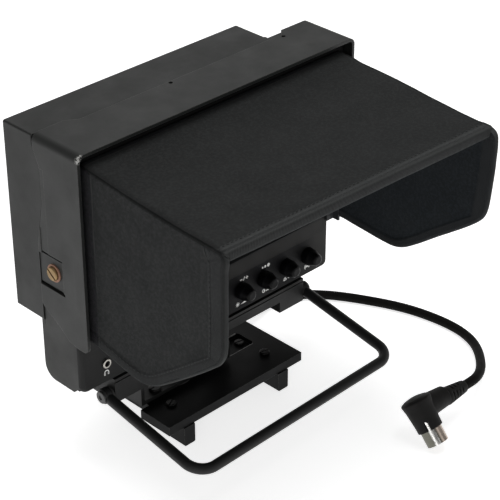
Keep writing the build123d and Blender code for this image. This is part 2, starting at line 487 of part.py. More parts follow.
# --------------------------------------------------------------- mount plate
outline = [(PLATE_X0, PLATE_Y0), (PLATE_X1, PLATE_Y0), (PLATE_X1, PLATE_Y1), (-54.9, PLATE_Y1), (-54.9, 37.2), (PLATE_X0, 37.2)]
plate = prism_z(outline, PLATE_Z0, PLATE_Z1)
pocket = slab(16.5, 39.6, 40.6, 56.5, PLATE_Z1 - 3.0, PLATE_Z1 + 1)
pocket = fillet(pocket.edges().filter_by(Axis.Z), 2.5)
plate = plate - pocket
plate = plate - rod_z(PAN_X, PAN_Y, PAN_R + 0.01, 5, 30)
RAIL_SCREWS = [(-44.4, 28.4, PLATE_Z1), (35.8, 27.2, PLATE_Z1), (34.9, 49.6, PLATE_Z1 - 3.0), (-45.4, 83.5, PLATE_Z1), (36.0, 83.5, PLATE_Z1)]
for x, y, z in RAIL_SCREWS:
    plate = plate - rod_z(x, y, 1.85, 10, 25)
save("mount_plate", plate)
for name, (a, b) in (("left", RAIL_L), ("right", RAIL_R)):
    rail = slab(a, b, RAIL_Y0, PLATE_Y1, 0.0, PLATE_Z0)
    rail = chamfer(edges_at(rail, Axis.Y, Z=0.0), 0.6)
    rail = rail - slab(a - 1, b + 1, RELIEF_Y0, RELIEF_Y1, -1, RELIEF_Z)
    for x, y, z in RAIL_SCREWS:
        if a < x < b:
            rail = rail - rod_z(x, y, 1.8, 4.0, 20)
    save("rail_" + name, rail)
rs = []
for x, y, z in RAIL_SCREWS:
    s = rod_z(x, y, 3.3, z, z + 1.7)
    s = fillet([e for e in s.edges() if abs(e.center().Z - (z + 1.7)) < 0.02], 0.7)
    s = s + rod_z(x, y, 1.75, 10.4 if RELIEF_Y0 - 2 < y < RELIEF_Y1 else 5.0, z + 0.5)
    s = s - (Pos(x, y, z + 1.6) * Rot(0, 0, 25 if x < 0 else -12) * Box(8, 0.9, 1.4))
    rs.append(s)
save("rail_screws", group(rs))

# ----------------------------------------------------------- cable and plug
GX0, GX1 = RAIL_R[1] + 0.2, 47.0
GLAND_Y, GLAND_Z = 80.0, 8.2
block = slab(GX0, GX1, 70.0, PLATE_Y1 - 0.1, 1.4, PLATE_Z0 - 0.1)
block = fillet(block.edges().filter_by(Axis.Z), 1.0)
block = block - rod_x(GLAND_Y, GLAND_Z, 3.0, GX0 + 2, GX1 + 1)
save("cable_block", block)
boot = revolve(Plane.XY * Polygon((-4.0, 0), (-4.0, 2.95), (0, 2.95), (0, 5.2), (2.0, 5.2), (3.0, 4.7), (11.0, 3.7), (11.0, 0), align=None), Axis.X)
boot = Pos(GX1 + 0.02, GLAND_Y, GLAND_Z) * boot
for gx in (4.2, 6.2, 8.2):
    groove = rod_x(GLAND_Y, GLAND_Z, 6.0, GX1 + gx, GX1 + gx + 0.8) - rod_x(GLAND_Y, GLAND_Z, 3.5, GX1 + gx - 1, GX1 + gx + 2)
    boot = boot - groove
save("cable_gland", boot)

EXIT_X = GX1 + 0.02 + 11.0
ROUTE = [(EXIT_X, 80.0, 8.2), (68.4, 80.0, 8.2), (79.0, 81.6, 6.3), (90.2, 84.2, 4.1), (101.8, 85.2, 3.2),
         (113.4, 82.2, 3.15), (124.8, 74.4, 3.15), (134.9, 63.0, 3.15), (142.9, 50.5, 3.15), (149.8, 37.5, 3.15),
         (156.0, 24.6, 3.15), (160.9, 11.2, 3.15), (164.0, -2.9, 3.15), (165.6, -17.0, 3.15), (165.0, -31.0, 3.2),
         (160.3, -44.1, 4.1), (151.3, -56.0, 6.7), (140.6, -66.4, 9.9), (129.6, -75.5, 13.5), (119.2, -82.0, 16.7),
         (109.2, -85.64, 18.7), (99.2, -85.7, 19.3)]
radii = []
pts = [Vector(*p) for p in ROUTE]
for i in range(1, len(pts) - 1):
    a, b = pts[i] - pts[i - 1], pts[i + 1] - pts[i]
    turn = a.get_angle(b)
    radii.append(0.45 * min(a.length, b.length) / math.tan(math.radians(turn) / 2))
print("cable bend radii, mm:", ["%.0f" % r for r in radii])
line = FilletPolyline(*ROUTE, radius=radii)
cable = sweep(Plane(line @ 0, z_dir=line % 0) * Circle(CABLE_D / 2), line)
print("cable length %.1f mm, volume %.1f, section x length %.1f" % (line.length, cable.volume, math.pi * CABLE_D ** 2 / 4 * line.length))
save("cable", cable)

END = pts[-1]
DIR = (pts[-1] - pts[-2]).normalized()
# right-angle round plug, standing on the rim of its shell
ELBOW = Vector(57.95, -85.93, 21.7)
AX = Vector(0.03, -0.6415, -0.7665).normalized()          # from the elbow to the shell's mouth
ARM = (END - ELBOW).normalized()
ARM_LEN = (END - ELBOW).length
L_R = 19.4                                                # ribbed part of the strain relief
DOWN = (AX - ARM * ARM.dot(AX)).normalized()
relief_plane = Plane(origin=END - ARM * L_R, z_dir=ARM, x_dir=DOWN)
relief = revolve(Plane.XZ * Polygon((0, -2.0), (5.0, -2.0), (5.6, 0), (5.9, 2.0), (4.15, L_R - 1.2), (3.9, L_R - 0.4), (3.6, L_R), (0, L_R), align=None), Axis.Z)
for g in (4.2, 7.4, 10.6, 13.8):                          # slits in the lower side, reaching round to the front
    ring = Pos(0, 0, g) * (Cylinder(8.0, 1.1) - Cylinder(4.5 - 0.085 * g, 3.0))
    relief = relief - (ring & (Rot(0, 0, -RELIEF_TURN) * Pos(6.6, 0, g) * Box(9.2, 20.0, 2.0)))
for g in (5.8, 9.0, 12.2):                                # and in the upper side, between them
    ring = Pos(0, 0, g) * (Cylinder(8.0, 1.1) - Cylinder(4.5 - 0.085 * g, 3.0))
    relief = relief - (ring & (Pos(-7.0, 0, g) * Box(9.2, 20.0, 2.0)))
relief = relief_plane * relief
arm = Plane(origin=ELBOW - AX * 0.9, z_dir=ARM) * (Pos(0, 0, (ARM_LEN - L_R) / 2) * Cone(8.1, 6.6, ARM_LEN - L_R))
barrel = revolve(Plane.XZ * Polygon((0, -9.8), (4.2, -9.4), (7.6, -8.6), (9.5, -7.7), (10.0, -6.9), (9.8, -5.6), (9.2, -2.5), (8.8, 2.0), (8.4, 7.0), (8.2, 12.3), (0, 12.3), align=None), Axis.Z)
barrel = Plane(origin=ELBOW, z_dir=AX) * barrel
plug = arm + barrel
SHELL_AT = ELBOW + AX * 12.3
SIDE = (Vector(-0.5996, -0.6094, 0.5188) - AX * AX.dot(Vector(-0.5996, -0.6094, 0.5188))).normalized()
rim = Plane(origin=SHELL_AT, z_dir=AX, x_dir=SIDE)
plug = plug - rim * (Pos(0, 0, -SHELL_IN / 2 + 0.5) * Cylinder(PLUG_NECK_R + 0.02, SHELL_IN + 1.0))
slot = Pos(9.0, 0, -1.9) * Box(6.0, 2.2, 5.6) + Pos(9.0, 0, -4.7) * Rot(0, 90, 0) * Cylinder(1.1, 6.0)
plug = plug - rim * (Rot(0, 0, 10) * slot)
save("plug_body", plug)
save("strain_relief", relief - plug)
shell_plane = Plane(origin=SHELL_AT - AX * SHELL_IN, z_dir=AX, x_dir=SIDE)
mouth = SHELL_IN + SHELL_OUT
shell = Pos(0, 0, SHELL_IN + SHELL_OUT / 2) * Cylinder(PLUG_SHELL_R, SHELL_OUT) + Pos(0, 0, SHELL_IN / 2 + 0.1) * Cylinder(PLUG_NECK_R, SHELL_IN)
shell = shell - Pos(0, 0, mouth / 2) * Cylinder(PLUG_BORE_R, mouth + 2.0)
shell = shell - Rot(0, 0, -13) * Pos(PLUG_SHELL_R, 0, mouth - 2.0) * Box(0.5, 1.1, 4.4)
save("plug_shell", shell_plane * shell)
insert_top = mouth - 5.2
insert = shell_plane * (Pos(0, 0, insert_top / 2 + 0.05) * Cylinder(PLUG_BORE_R - 0.05, insert_top - 0.1))
pins = []
for k in range(6):
    a = math.radians(30 + k * 48)
    px, py = 3.9 * math.cos(a), 3.9 * math.sin(a)
    insert = insert - shell_plane * (Pos(px, py, insert_top - 1.7) * Cylinder(0.72, 6.0))
    pins.append(shell_plane * (Pos(px, py, insert_top - 0.5) * Cylinder(0.7, 8.0)))
save("plug_insert", insert)
save("plug_pins", group(pins))
print("elbow", tuple(ELBOW), "axis", tuple(AX), "arm", tuple(ARM), ARM_LEN, "side", tuple(SIDE))
print("plug shell from", tuple(SHELL_AT), "pins", len(pins))
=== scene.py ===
import bpy
import bmesh
import json
import math
import random
import numpy as np
from mathutils import Vector, Matrix, noise


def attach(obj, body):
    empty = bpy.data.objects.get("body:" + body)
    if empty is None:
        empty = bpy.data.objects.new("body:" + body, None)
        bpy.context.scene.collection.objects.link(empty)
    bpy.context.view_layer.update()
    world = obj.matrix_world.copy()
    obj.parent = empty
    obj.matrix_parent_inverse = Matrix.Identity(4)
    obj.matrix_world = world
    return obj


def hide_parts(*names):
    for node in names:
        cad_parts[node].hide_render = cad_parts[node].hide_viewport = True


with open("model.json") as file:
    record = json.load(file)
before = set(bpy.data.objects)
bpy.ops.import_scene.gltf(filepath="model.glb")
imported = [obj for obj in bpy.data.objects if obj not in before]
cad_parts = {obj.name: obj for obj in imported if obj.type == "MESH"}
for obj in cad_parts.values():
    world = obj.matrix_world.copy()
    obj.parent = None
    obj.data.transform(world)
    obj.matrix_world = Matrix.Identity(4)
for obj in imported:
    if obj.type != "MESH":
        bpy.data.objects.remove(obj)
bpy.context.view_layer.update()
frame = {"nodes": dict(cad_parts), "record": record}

MM = 0.001
N = frame["nodes"]
random.seed(8)


# ------------------------------------------------------------------ camera
def look():
    az, el, roll = math.radians(-44.54), math.radians(31.25), math.radians(-0.14)
    k = 220.0 / 240.0
    back = Vector((math.sin(az) * math.cos(el), -math.cos(az) * math.cos(el), math.sin(el)))
    right = Vector((math.cos(az), math.sin(az), 0.0))
    up = back.cross(right)
    r = math.cos(roll) * right + math.sin(roll) * up
    u = -math.sin(roll) * right + math.cos(roll) * up
    c = 15.77 * r - 97.7 * u + 1105.64 * back
    c = Vector((c.x * k, c.y * k + 24.15, (c.z + 238.7) * k)) * MM
    data = bpy.data.cameras.new("camera")
    data.sensor_width = 36.0
    data.lens = 1772.32 / 500.0 * 36.0
    data.clip_start, data.clip_end = 0.05, 20.0
    cam = bpy.data.objects.new("camera", data)
    bpy.context.scene.collection.objects.link(cam)
    m = Matrix((r, u, back)).transposed().to_4x4()
    m.translation = c
    cam.matrix_world = m
    bpy.context.scene.camera = cam


look()


def link(o):
    bpy.context.scene.collection.objects.link(o)
    return o


# ------------------------------------------------------------------ lights
def area(name, at, to, size, power, colour=(1, 1, 1)):
    d = bpy.data.lights.new(name, "AREA")
    d.shape = "RECTANGLE"
    d.size, d.size_y = size
    d.energy = power
    d.color = colour
    o = link(bpy.data.objects.new(name, d))
    v = Vector(to) - Vector(at)
    o.location = at
    o.rotation_euler = v.to_track_quat("-Z", "Y").to_euler()
    return o


area("left", (-1.7, -0.9, 0.9), (0, 0, 0.1), (1.3, 1.3), 2.5)
area("front", (0.5, -1.9, 0.7), (0, 0, 0.1), (1.4, 0.8), 3.0)
area("back", (0.7, 2.0, 0.9), (0, 0, 0.1), (2.2, 0.7), 2.2)
area("top", (0.1, 0.1, 2.2), (0, 0, 0.1), (1.5, 1.5), 18.5)
area("strip", (-1.5, -1.0, 0.75), (0.05, -0.05, 0.05), (0.12, 1.1), 2.2)


def studio_world():
    """Soft room: bright low at the back and right, dim overhead and on the near side."""
    w = bpy.data.worlds.new("studio")
    bpy.context.scene.world = w
    w.use_nodes = True
    nt = w.node_tree
    bg = nt.nodes["Background"]
    tc = nt.nodes.new("ShaderNodeTexCoord")
    sp = nt.nodes.new("ShaderNodeSeparateXYZ")
    nt.links.new(tc.outputs["Generated"], sp.inputs[0])

    def remap(v, a, b, c, d):
        n = nt.nodes.new("ShaderNodeMapRange")
        n.interpolation_type = "SMOOTHSTEP"
        nt.links.new(v, n.inputs["Value"])
        for i, x in zip(("From Min", "From Max", "To Min", "To Max"), (a, b, c, d)):
            n.inputs[i].default_value = x
        return n.outputs["Result"]

    def mul(a, b):
        n = nt.nodes.new("ShaderNodeMath")
        n.operation = "MULTIPLY"
        nt.links.new(a, n.inputs[0])
        nt.links.new(b, n.inputs[1])
        return n.outputs[0]

    up = remap(sp.outputs[2], 0.30, 0.80, 0.70, 0.16)
    side = remap(sp.outputs[0], -0.7, 0.5, 0.42, 1.0)
    depth = remap(sp.outputs[1], -0.5, 0.5, 0.5, 1.0)
    nt.links.new(mul(mul(up, side), depth), bg.inputs[1])
    bg.inputs[0].default_value = (1.0, 0.995, 0.985, 1)


studio_world()
bpy.context.scene.view_settings.view_transform = "Standard"

mesh = bpy.data.meshes.new("floor")
S = 3.0
mesh.from_pydata([(-S, -S, 0), (S, -S, 0), (S, S, 0), (-S, S, 0)], [], [(0, 1, 2, 3)])
floor = link(bpy.data.objects.new("floor", mesh))
fm = bpy.data.materials.new("floor")
fm.use_nodes = True
fb = fm.node_tree.nodes["Principled BSDF"]
fb.inputs["Base Color"].default_value = (0.95, 0.95, 0.95, 1)
fb.inputs["Roughness"].default_value = 0.95
fb.inputs["Specular IOR Level"].default_value = 0.1
fb.inputs["Emission Color"].default_value = (1, 1, 1, 1)
fb.inputs["Emission Strength"].default_value = 0.74
mesh.materials.append(fm)


# --------------------------------------------------------------- materials
class Mat:
    """A principled material with a few procedural layers."""

    def __init__(self, name, base, rough=0.5, metal=0.0, spec=0.5):
        self.m = bpy.data.materials.new(name)
        self.m.use_nodes = True
        self.nt = self.m.node_tree
        self.b = self.nt.nodes["Principled BSDF"]
        self.base, self.rough = base, rough
        self.set("Base Color", (*base, 1))
        self.set("Roughness", rough)
        self.set("Metallic", metal)
        self.set("Specular IOR Level", spec)
        self.tc = self.new("ShaderNodeTexCoord")
        self.co = self.tc.outputs["Object"]
        self.colour = None
        self.height = None
        self.normal = None

    def set(self, name, v):
        self.b.inputs[name].default_value = v

    def new(self, kind, **props):
        n = self.nt.nodes.new(kind)
        for k, v in props.items():
            setattr(n, k, v)
        return n

    def wire(self, a, b):
        self.nt.links.new(a, b)

    def put(self, sock, v):
        if isinstance(v, bpy.types.NodeSocket):
            self.wire(v, sock)
        else:
            sock.default_value = v

    def noise(self, scale, detail=3.0, rough=0.55, stretch=None, co=None, distort=0.0):
        n = self.new("ShaderNodeTexNoise")
        src = co or self.co
        if stretch:
            mp = self.new("ShaderNodeMapping")
            mp.inputs["Scale"].default_value = stretch
            self.wire(src, mp.inputs["Vector"])
            src = mp.outputs["Vector"]
        self.wire(src, n.inputs["Vector"])
        n.inputs["Scale"].default_value = scale
        n.inputs["Detail"].default_value = detail
        n.inputs["Roughness"].default_value = rough
        n.inputs["Distortion"].default_value = distort
        return n.outputs["Fac"]

    def voronoi(self, scale, feature="F1", co=None):
        n = self.new("ShaderNodeTexVoronoi", feature=feature)
        self.wire(co or self.co, n.inputs["Vector"])
        n.inputs["Scale"].default_value = scale
        return n.outputs["Distance"]

    def remap(self, v, a, b, c, d, kind="LINEAR"):
        n = self.new("ShaderNodeMapRange", interpolation_type=kind)
        self.wire(v, n.inputs["Value"])
        for i, x in zip(("From Min", "From Max", "To Min", "To Max"), (a, b, c, d)):
            n.inputs[i].default_value = x
        return n.outputs["Result"]

    def math(self, op, a, b=0.0, c=None):
        n = self.new("ShaderNodeMath", operation=op)
        self.put(n.inputs[0], a)
        self.put(n.inputs[1], b)
        if c is not None:
            self.put(n.inputs[2], c)
        return n.outputs[0]

    def mix(self, fac, a, b):
        n = self.new("ShaderNodeMix", data_type="RGBA")
        self.put(n.inputs[0], fac)
        self.put(n.inputs[6], a)
        self.put(n.inputs[7], b)
        return n.outputs[2]

    def attr(self, name):
        n = self.new("ShaderNodeAttribute")
        n.attribute_name = name
        return n.outputs["Fac"]

    def uv(self, name):
        n = self.new("ShaderNodeUVMap")
        n.uv_map = name
        return n.outputs["UV"]

    def split(self, v):
        n = self.new("ShaderNodeSeparateXYZ")
        self.wire(v, n.inputs[0])
        return n.outputs

    def tint(self, amount, scale, detail=4.0, warm=0.0, stretch=None):
        """Slow colour variation of the base."""
        f = self.remap(self.noise(scale, detail, stretch=stretch), 0.3, 0.7, 0.0, 1.0)
        lo = tuple(max(0.0, c * (1 - amount)) for c in self.base)
        hi = (self.base[0] * (1 + amount + warm), self.base[1] * (1 + amount), self.base[2] * (1 + amount - warm))
        self.colour = self.mix(f, (*lo, 1), (*hi, 1))
        return self

    def over(self, fac, colour):
        self.colour = self.mix(fac, self.colour if self.colour is not None else (*self.base, 1), (*colour, 1))
        return self

    def add_height(self, v, metres):
        h = self.math("MULTIPLY", v, metres)
        self.height = h if self.height is None else self.math("ADD", self.height, h)
        return self

    def rough_by(self, v, a, b, lo, hi):
        self.wire(self.remap(v, a, b, lo, hi), self.b.inputs["Roughness"])
        return self

    def edge(self, radius, colour=None, amount=0.5, chip=900.0):
        """Rounded-edge shading, and paint rubbed lighter along the edges."""
        bv = self.new("ShaderNodeBevel")
        bv.samples = 4
        bv.inputs["Radius"].default_value = radius
        self.normal = bv.outputs["Normal"]
        if colour is not None:
            bw = self.new("ShaderNodeBevel")
            bw.samples = 4
            bw.inputs["Radius"].default_value = radius * 1.6
            g = self.new("ShaderNodeNewGeometry")
            d = self.new("ShaderNodeVectorMath", operation="DOT_PRODUCT")
            self.wire(bw.outputs["Normal"], d.inputs[0])
            self.wire(g.outputs["Normal"], d.inputs[1])
            e = self.remap(d.outputs["Value"], 0.995, 0.8, 0.0, 1.0)
            c = self.remap(self.noise(chip, 3.0, 0.7), 0.42, 0.62, 0.15, 1.0)
            f = self.math("MULTIPLY", self.math("MULTIPLY", e, c), amount)
            self.over(f, colour)
        return self

    def done(self, strength=1.0):
        if self.colour is not None:
            self.wire(self.colour, self.b.inputs["Base Color"])
        if self.height is not None:
            bump = self.new("ShaderNodeBump")
            bump.inputs["Strength"].default_value = strength
            bump.inputs["Distance"].default_value = 1.0
            self.wire(self.height, bump.inputs["Height"])
            if self.normal is not None:
                self.wire(self.normal, bump.inputs["Normal"])
            self.wire(bump.outputs["Normal"], self.b.inputs["Normal"])
        elif self.normal is not None:
            self.wire(self.normal, self.b.inputs["Normal"])
        return self.m


def painted(name, base, rough, peel=0.00003, wear=(0.16, 0.16, 0.155), amount=0.35, radius=0.0005, spec=0.5, chips=(), painted_top_light=0.0):
    m = Mat(name, base, rough, 0.0, spec)
    m.tint(0.10, 14.0, 5.0, 0.015)
    scr = m.remap(m.noise(260.0, 2.0, 0.5, (1.0, 1.0, 0.05)), 0.66, 0.72, 0.0, 0.10)
    m.over(scr, tuple(min(1, c * 2.2 + 0.01) for c in base))
    # painted light: upward faces painted lighter in mottled patches
    if painted_top_light:
        _, _, nz = m.split(m.tc.outputs["Normal"])
        f = m.math("MULTIPLY", m.remap(nz, 0.80, 0.98, 0.0, painted_top_light), m.remap(m.noise(30.0, 5.0, 0.7), 0.25, 0.60, 0.75, 1.0))
        m.over(f, tuple(c * 2.0 for c in base))
    m.add_height(m.noise(1500.0, 2.0), peel)
    m.rough_by(m.noise(45.0, 5.0, 0.65), 0.3, 0.7, rough - 0.07, rough + 0.09)
    m.edge(radius, wear, amount)
    for at, size in chips:
        d = m.new("ShaderNodeVectorMath", operation="DISTANCE")
        m.wire(m.co, d.inputs[0])
        d.inputs[1].default_value = at
        near = m.remap(d.outputs["Value"], size, size * 0.4, 0.0, 1.0)
        m.over(m.math("MULTIPLY", near, m.remap(m.noise(900.0, 2.0), 0.44, 0.54, 0.0, 1.0)), (0.55, 0.55, 0.53))
    return m.done()


def plate():
    """Black plate and rails, with painted highlights along the pocket's two long edges."""
    m = Mat("plate_metal", (0.0035, 0.0037, 0.0041), 0.5, 0.0, 0.12)
    m.tint(0.10, 14.0, 5.0, 0.015)
    m.over(m.remap(m.noise(55.0, 5.0, 0.65), 0.50, 0.72, 0.0, 0.5), (0.0068, 0.0072, 0.0074))
    m.add_height(m.noise(1500.0, 2.0), 0.00003)
    m.rough_by(m.noise(45.0, 5.0, 0.65), 0.3, 0.7, 0.42, 0.58)
    m.edge(0.0004, (0.22, 0.22, 0.21), 0.5)
    x, y, z = m.split(m.co)
    # painted highlights: thin pale lines along the pocket's two long edges, on the plate's top
    for y0, x0, x1 in ((0.0406, 0.0165, 0.0385), (0.0565, 0.0290, 0.0385)):
        f = m.remap(m.math("ABSOLUTE", m.math("SUBTRACT", y, y0)), 0.00055, 0.00025, 0.0, 1.0)
        f = m.math("MULTIPLY", f, m.remap(m.math("ABSOLUTE", m.math("SUBTRACT", x, (x0 + x1) / 2)), (x1 - x0) / 2, (x1 - x0) / 2 - 0.001, 0.0, 1.0))
        f = m.math("MULTIPLY", f, m.remap(z, 0.0190, 0.0195, 0.0, 1.0))
        m.over(m.math("MULTIPLY", f, m.remap(m.noise(420.0, 2.0), 0.3, 0.55, 0.5, 1.0)), (0.36, 0.36, 0.35))
    return m.done()


def moulded(name, base, rough, grain=0.00004, scale=2600.0, wear=(0.10, 0.10, 0.10), amount=0.2, radius=0.0005, spec=0.45):
    m = Mat(name, base, rough, 0.0, spec)
    m.tint(0.12, 20.0, 5.0)
    m.add_height(m.noise(scale, 2.0, 0.6), grain)
    m.add_height(m.voronoi(scale * 0.6), grain * 0.5)
    m.rough_by(m.noise(60.0, 4.0), 0.3, 0.7, rough - 0.06, rough + 0.08)
    m.edge(radius, wear, amount)
    return m.done()


def metal(name, base, rough, brush=(1, 1, 1), spec=0.5, tarnish=(0.2, 0.18, 0.15), dirt=0.25, scale=700.0):
    m = Mat(name, base, rough, 1.0, spec)
    m.tint(0.08, 120.0, 3.0, 0.02)
    m.over(m.remap(m.noise(160.0, 6.0, 0.7), 0.55, 0.75, 0.0, dirt), tarnish)
    m.add_height(m.noise(scale, 2.0, 0.5, brush), 0.00001)
    m.rough_by(m.noise(220.0, 4.0), 0.3, 0.7, max(0.03, rough - 0.05), rough + 0.12)
    m.edge(0.0002)
    return m.done()


def rubber(name, base, rough, scale=1400.0, grain=0.00003, spec=0.4, lighter=1.35, soft=0.0):
    m = Mat(name, base, rough, 0.0, spec)
    m.tint(0.14, 60.0, 4.0, 0.02)
    m.over(m.remap(m.noise(320.0, 5.0, 0.7), 0.58, 0.78, 0.0, 0.35), tuple(c * lighter + 0.004 for c in base))
    m.add_height(m.noise(scale, 2.0), grain)
    m.rough_by(m.noise(130.0, 4.0), 0.3, 0.7, rough - 0.08, rough + 0.1)
    if soft:
        m.edge(soft)
    return m.done()


def bezel():
    """Moulded bezel, with light and shade painted by position: painted shade on the low control strip, deepest on the
    left, and painted light at the strip's right end, on the bezel's lower left end and on a band above the strip.
    """
    m = Mat("bezel_moulding", (0.0072, 0.0073, 0.0077), 0.55, 0.0, 0.15)
    m.tint(0.12, 20.0, 5.0)
    x, y, z = m.split(m.co)
    # painted shade on the low control strip, deepest towards the left
    low = m.math("MULTIPLY", m.remap(z, 0.0860, 0.0852, 0.0, 1.0), m.remap(y, 0.0328, 0.0322, 0.0, 1.0))
    mid = m.remap(x, 0.060, 0.074, 1.0, 0.35, "SMOOTHSTEP")
    m.over(m.math("MULTIPLY", low, mid), (0.0028, 0.0028, 0.0036))
    # painted light on the bezel's left end, low down
    m.over(m.math("MULTIPLY", m.remap(x, -0.050, -0.070, 0.0, 1.0), m.remap(z, 0.1000, 0.0950, 0.0, 1.0)), (0.0135, 0.0137, 0.0137))
    # painted light at the strip's right end
    m.over(m.math("MULTIPLY", low, m.remap(x, 0.078, 0.088, 0.0, 1.0)), (0.0200, 0.0196, 0.0188))
    # painted light on a band just above the strip, from the middle rightwards
    m.over(m.math("MULTIPLY", m.remap(x, -0.010, 0.010, 0.0, 1.0), m.math("MULTIPLY", m.remap(z, 0.0856, 0.0862, 0.0, 1.0), m.remap(z, 0.0960, 0.0940, 0.0, 1.0))), (0.0140, 0.0138, 0.0131))
    m.add_height(m.noise(2600.0, 2.0, 0.6), 0.00004)
    m.add_height(m.voronoi(1560.0), 0.00002)
    m.rough_by(m.noise(60.0, 4.0), 0.3, 0.7, 0.49, 0.63)
    m.edge(0.0003, (0.10, 0.10, 0.10), 0.15)
    return m.done()


def fabric(name, base, hem_col, rough=0.85, lining=False):
    m = Mat(name, base, rough, 0.0, 0.25 if lining else 0.16)
    m.set("Sheen Weight", 0.06)
    m.set("Sheen Roughness", 0.5)
    m.set("Sheen Tint", (0.8, 0.85, 0.9, 1))
    u, v, _ = m.split(m.uv("cloth"))
    k = 2 * math.pi / 0.00062
    su = m.math("SINE", m.math("MULTIPLY", u, k))
    sv = m.math("SINE", m.math("MULTIPLY", v, k))
    weave = m.math("MULTIPLY", su, sv)
    m.tint(0.10, 26.0, 5.0)
    spk = m.remap(m.noise(560.0, 2.0, 0.75), 0.46, 0.60, 0.0, 1.0)
    m.over(0.13, (0.001, 0.001, 0.001))
    m.over(m.math("MULTIPLY", spk, 0.55), tuple(c * 2.1 for c in base))
    m.over(m.remap(weave, 0.2, 1.0, 0.0, 0.22), tuple(c * 1.7 for c in base))
    hem = m.attr("hem")
    eu, ev, _ = m.split(m.uv("edge"))
    rib = m.math("SINE", m.math("MULTIPLY", m.math("ADD", eu, m.math("MULTIPLY", ev, 0.8)), 2 * math.pi / 0.0011))
    px, py, pz = m.split(m.co)
    s_ = m.remap(m.math("ABSOLUTE", px), 0.1030, 0.1045, 0.0, 1.0)
    if lining:
        m.over(hem, hem_col)
        m.over(m.math("MULTIPLY", m.remap(rib, 0.0, 1.0, 0.0, 0.35), hem), tuple(c * 1.5 for c in hem_col))
    else:
        # painted shade on the sides and painted light on the top: side cloth darker, top cloth lighter, and the hem
        # much lighter on the top than on the sides
        m.over(m.math("MULTIPLY", s_, 0.36), (0.0012, 0.0012, 0.0012))
        m.over(m.remap(s_, 0.0, 1.0, 0.26, 0.0), tuple(c * 1.8 for c in base))
        hem_lit_top_shaded_sides = m.mix(s_, tuple(c * 2.8 for c in hem_col) + (1,), tuple(c * 0.56 for c in hem_col) + (1,))
        m.colour = m.mix(hem, m.colour, hem_lit_top_shaded_sides)
        m.over(m.math("MULTIPLY", m.math("MULTIPLY", m.remap(rib, 0.0, 1.0, 0.0, 0.30), hem), m.remap(s_, 0.0, 1.0, 1.2, 1.0)),
               tuple(c * 1.25 for c in hem_col))
        m.over(m.math("MULTIPLY", m.math("MULTIPLY", spk, hem), 0.16), tuple(c * 1.9 for c in hem_col))
    if not lining:
        # on the top only: painted shade on the underside of the turned edge, and a broken line of painted shade in the
        # needle holes along the hem
        _, ny, _ = m.split(m.tc.outputs["Normal"])
        top = m.math("SUBTRACT", 1.0, s_)
        m.over(m.math("MULTIPLY", m.remap(ny, -0.50, -0.95, 0.0, 0.72), top), (0.006, 0.0062, 0.0062))
        dash = m.remap(m.math("SINE", m.math("MULTIPLY", eu, 2 * math.pi / 0.0031)), -0.3, 0.3, 0.25, 1.0)
        line = m.remap(m.math("ABSOLUTE", m.math("SUBTRACT", ev, 0.0069)), 0.0007, 0.0003, 0.0, 0.8)
        m.over(m.math("MULTIPLY", m.math("MULTIPLY", dash, line), top), (0.006, 0.0062, 0.0062))
    # painted shade in the seam grooves along the creases and the top's side edges
    m.over(m.attr("seam"), tuple(c * 0.22 for c in base))
    if not lining:
        # painted shadow of the visor: a dark speckled band where the cloth meets the frame, wider on the sides
        wob = m.math("MULTIPLY", m.math("SUBTRACT", m.noise(60.0, 2.0), 0.5), 0.0012)
        yy = m.math("ADD", m.math("ADD", py, m.math("MULTIPLY", s_, 0.0072)), wob)
        visor_shadow_band = m.remap(yy, 0.0274, 0.0279, 0.0, 1.0)
        light = m.math("MULTIPLY", m.remap(m.math("ABSOLUTE", m.math("SUBTRACT", yy, 0.0270)), 0.00045, 0.0002, 0.0, 1.0),
                       m.remap(m.noise(35.0, 3.0), 0.40, 0.60, 0.0, 0.75))
        m.over(light, tuple(c * 2.2 for c in base))
        visor_shadow = m.mix(m.remap(m.noise(480.0, 3.0, 0.7), 0.40, 0.62, 0.0, 1.0), (0.0050, 0.0052, 0.0054, 1), (0.0135, 0.0120, 0.0150, 1))
        m.colour = m.mix(visor_shadow_band, m.colour, visor_shadow)
    m.add_height(weave, 0.00004)
    m.add_height(m.math("MULTIPLY", rib, hem), 0.00009)
    m.add_height(m.noise(90.0, 3.0), 0.0003)
    m.rough_by(m.noise(40.0, 4.0), 0.3, 0.7, rough - 0.06, rough + 0.08)
    return m.done()


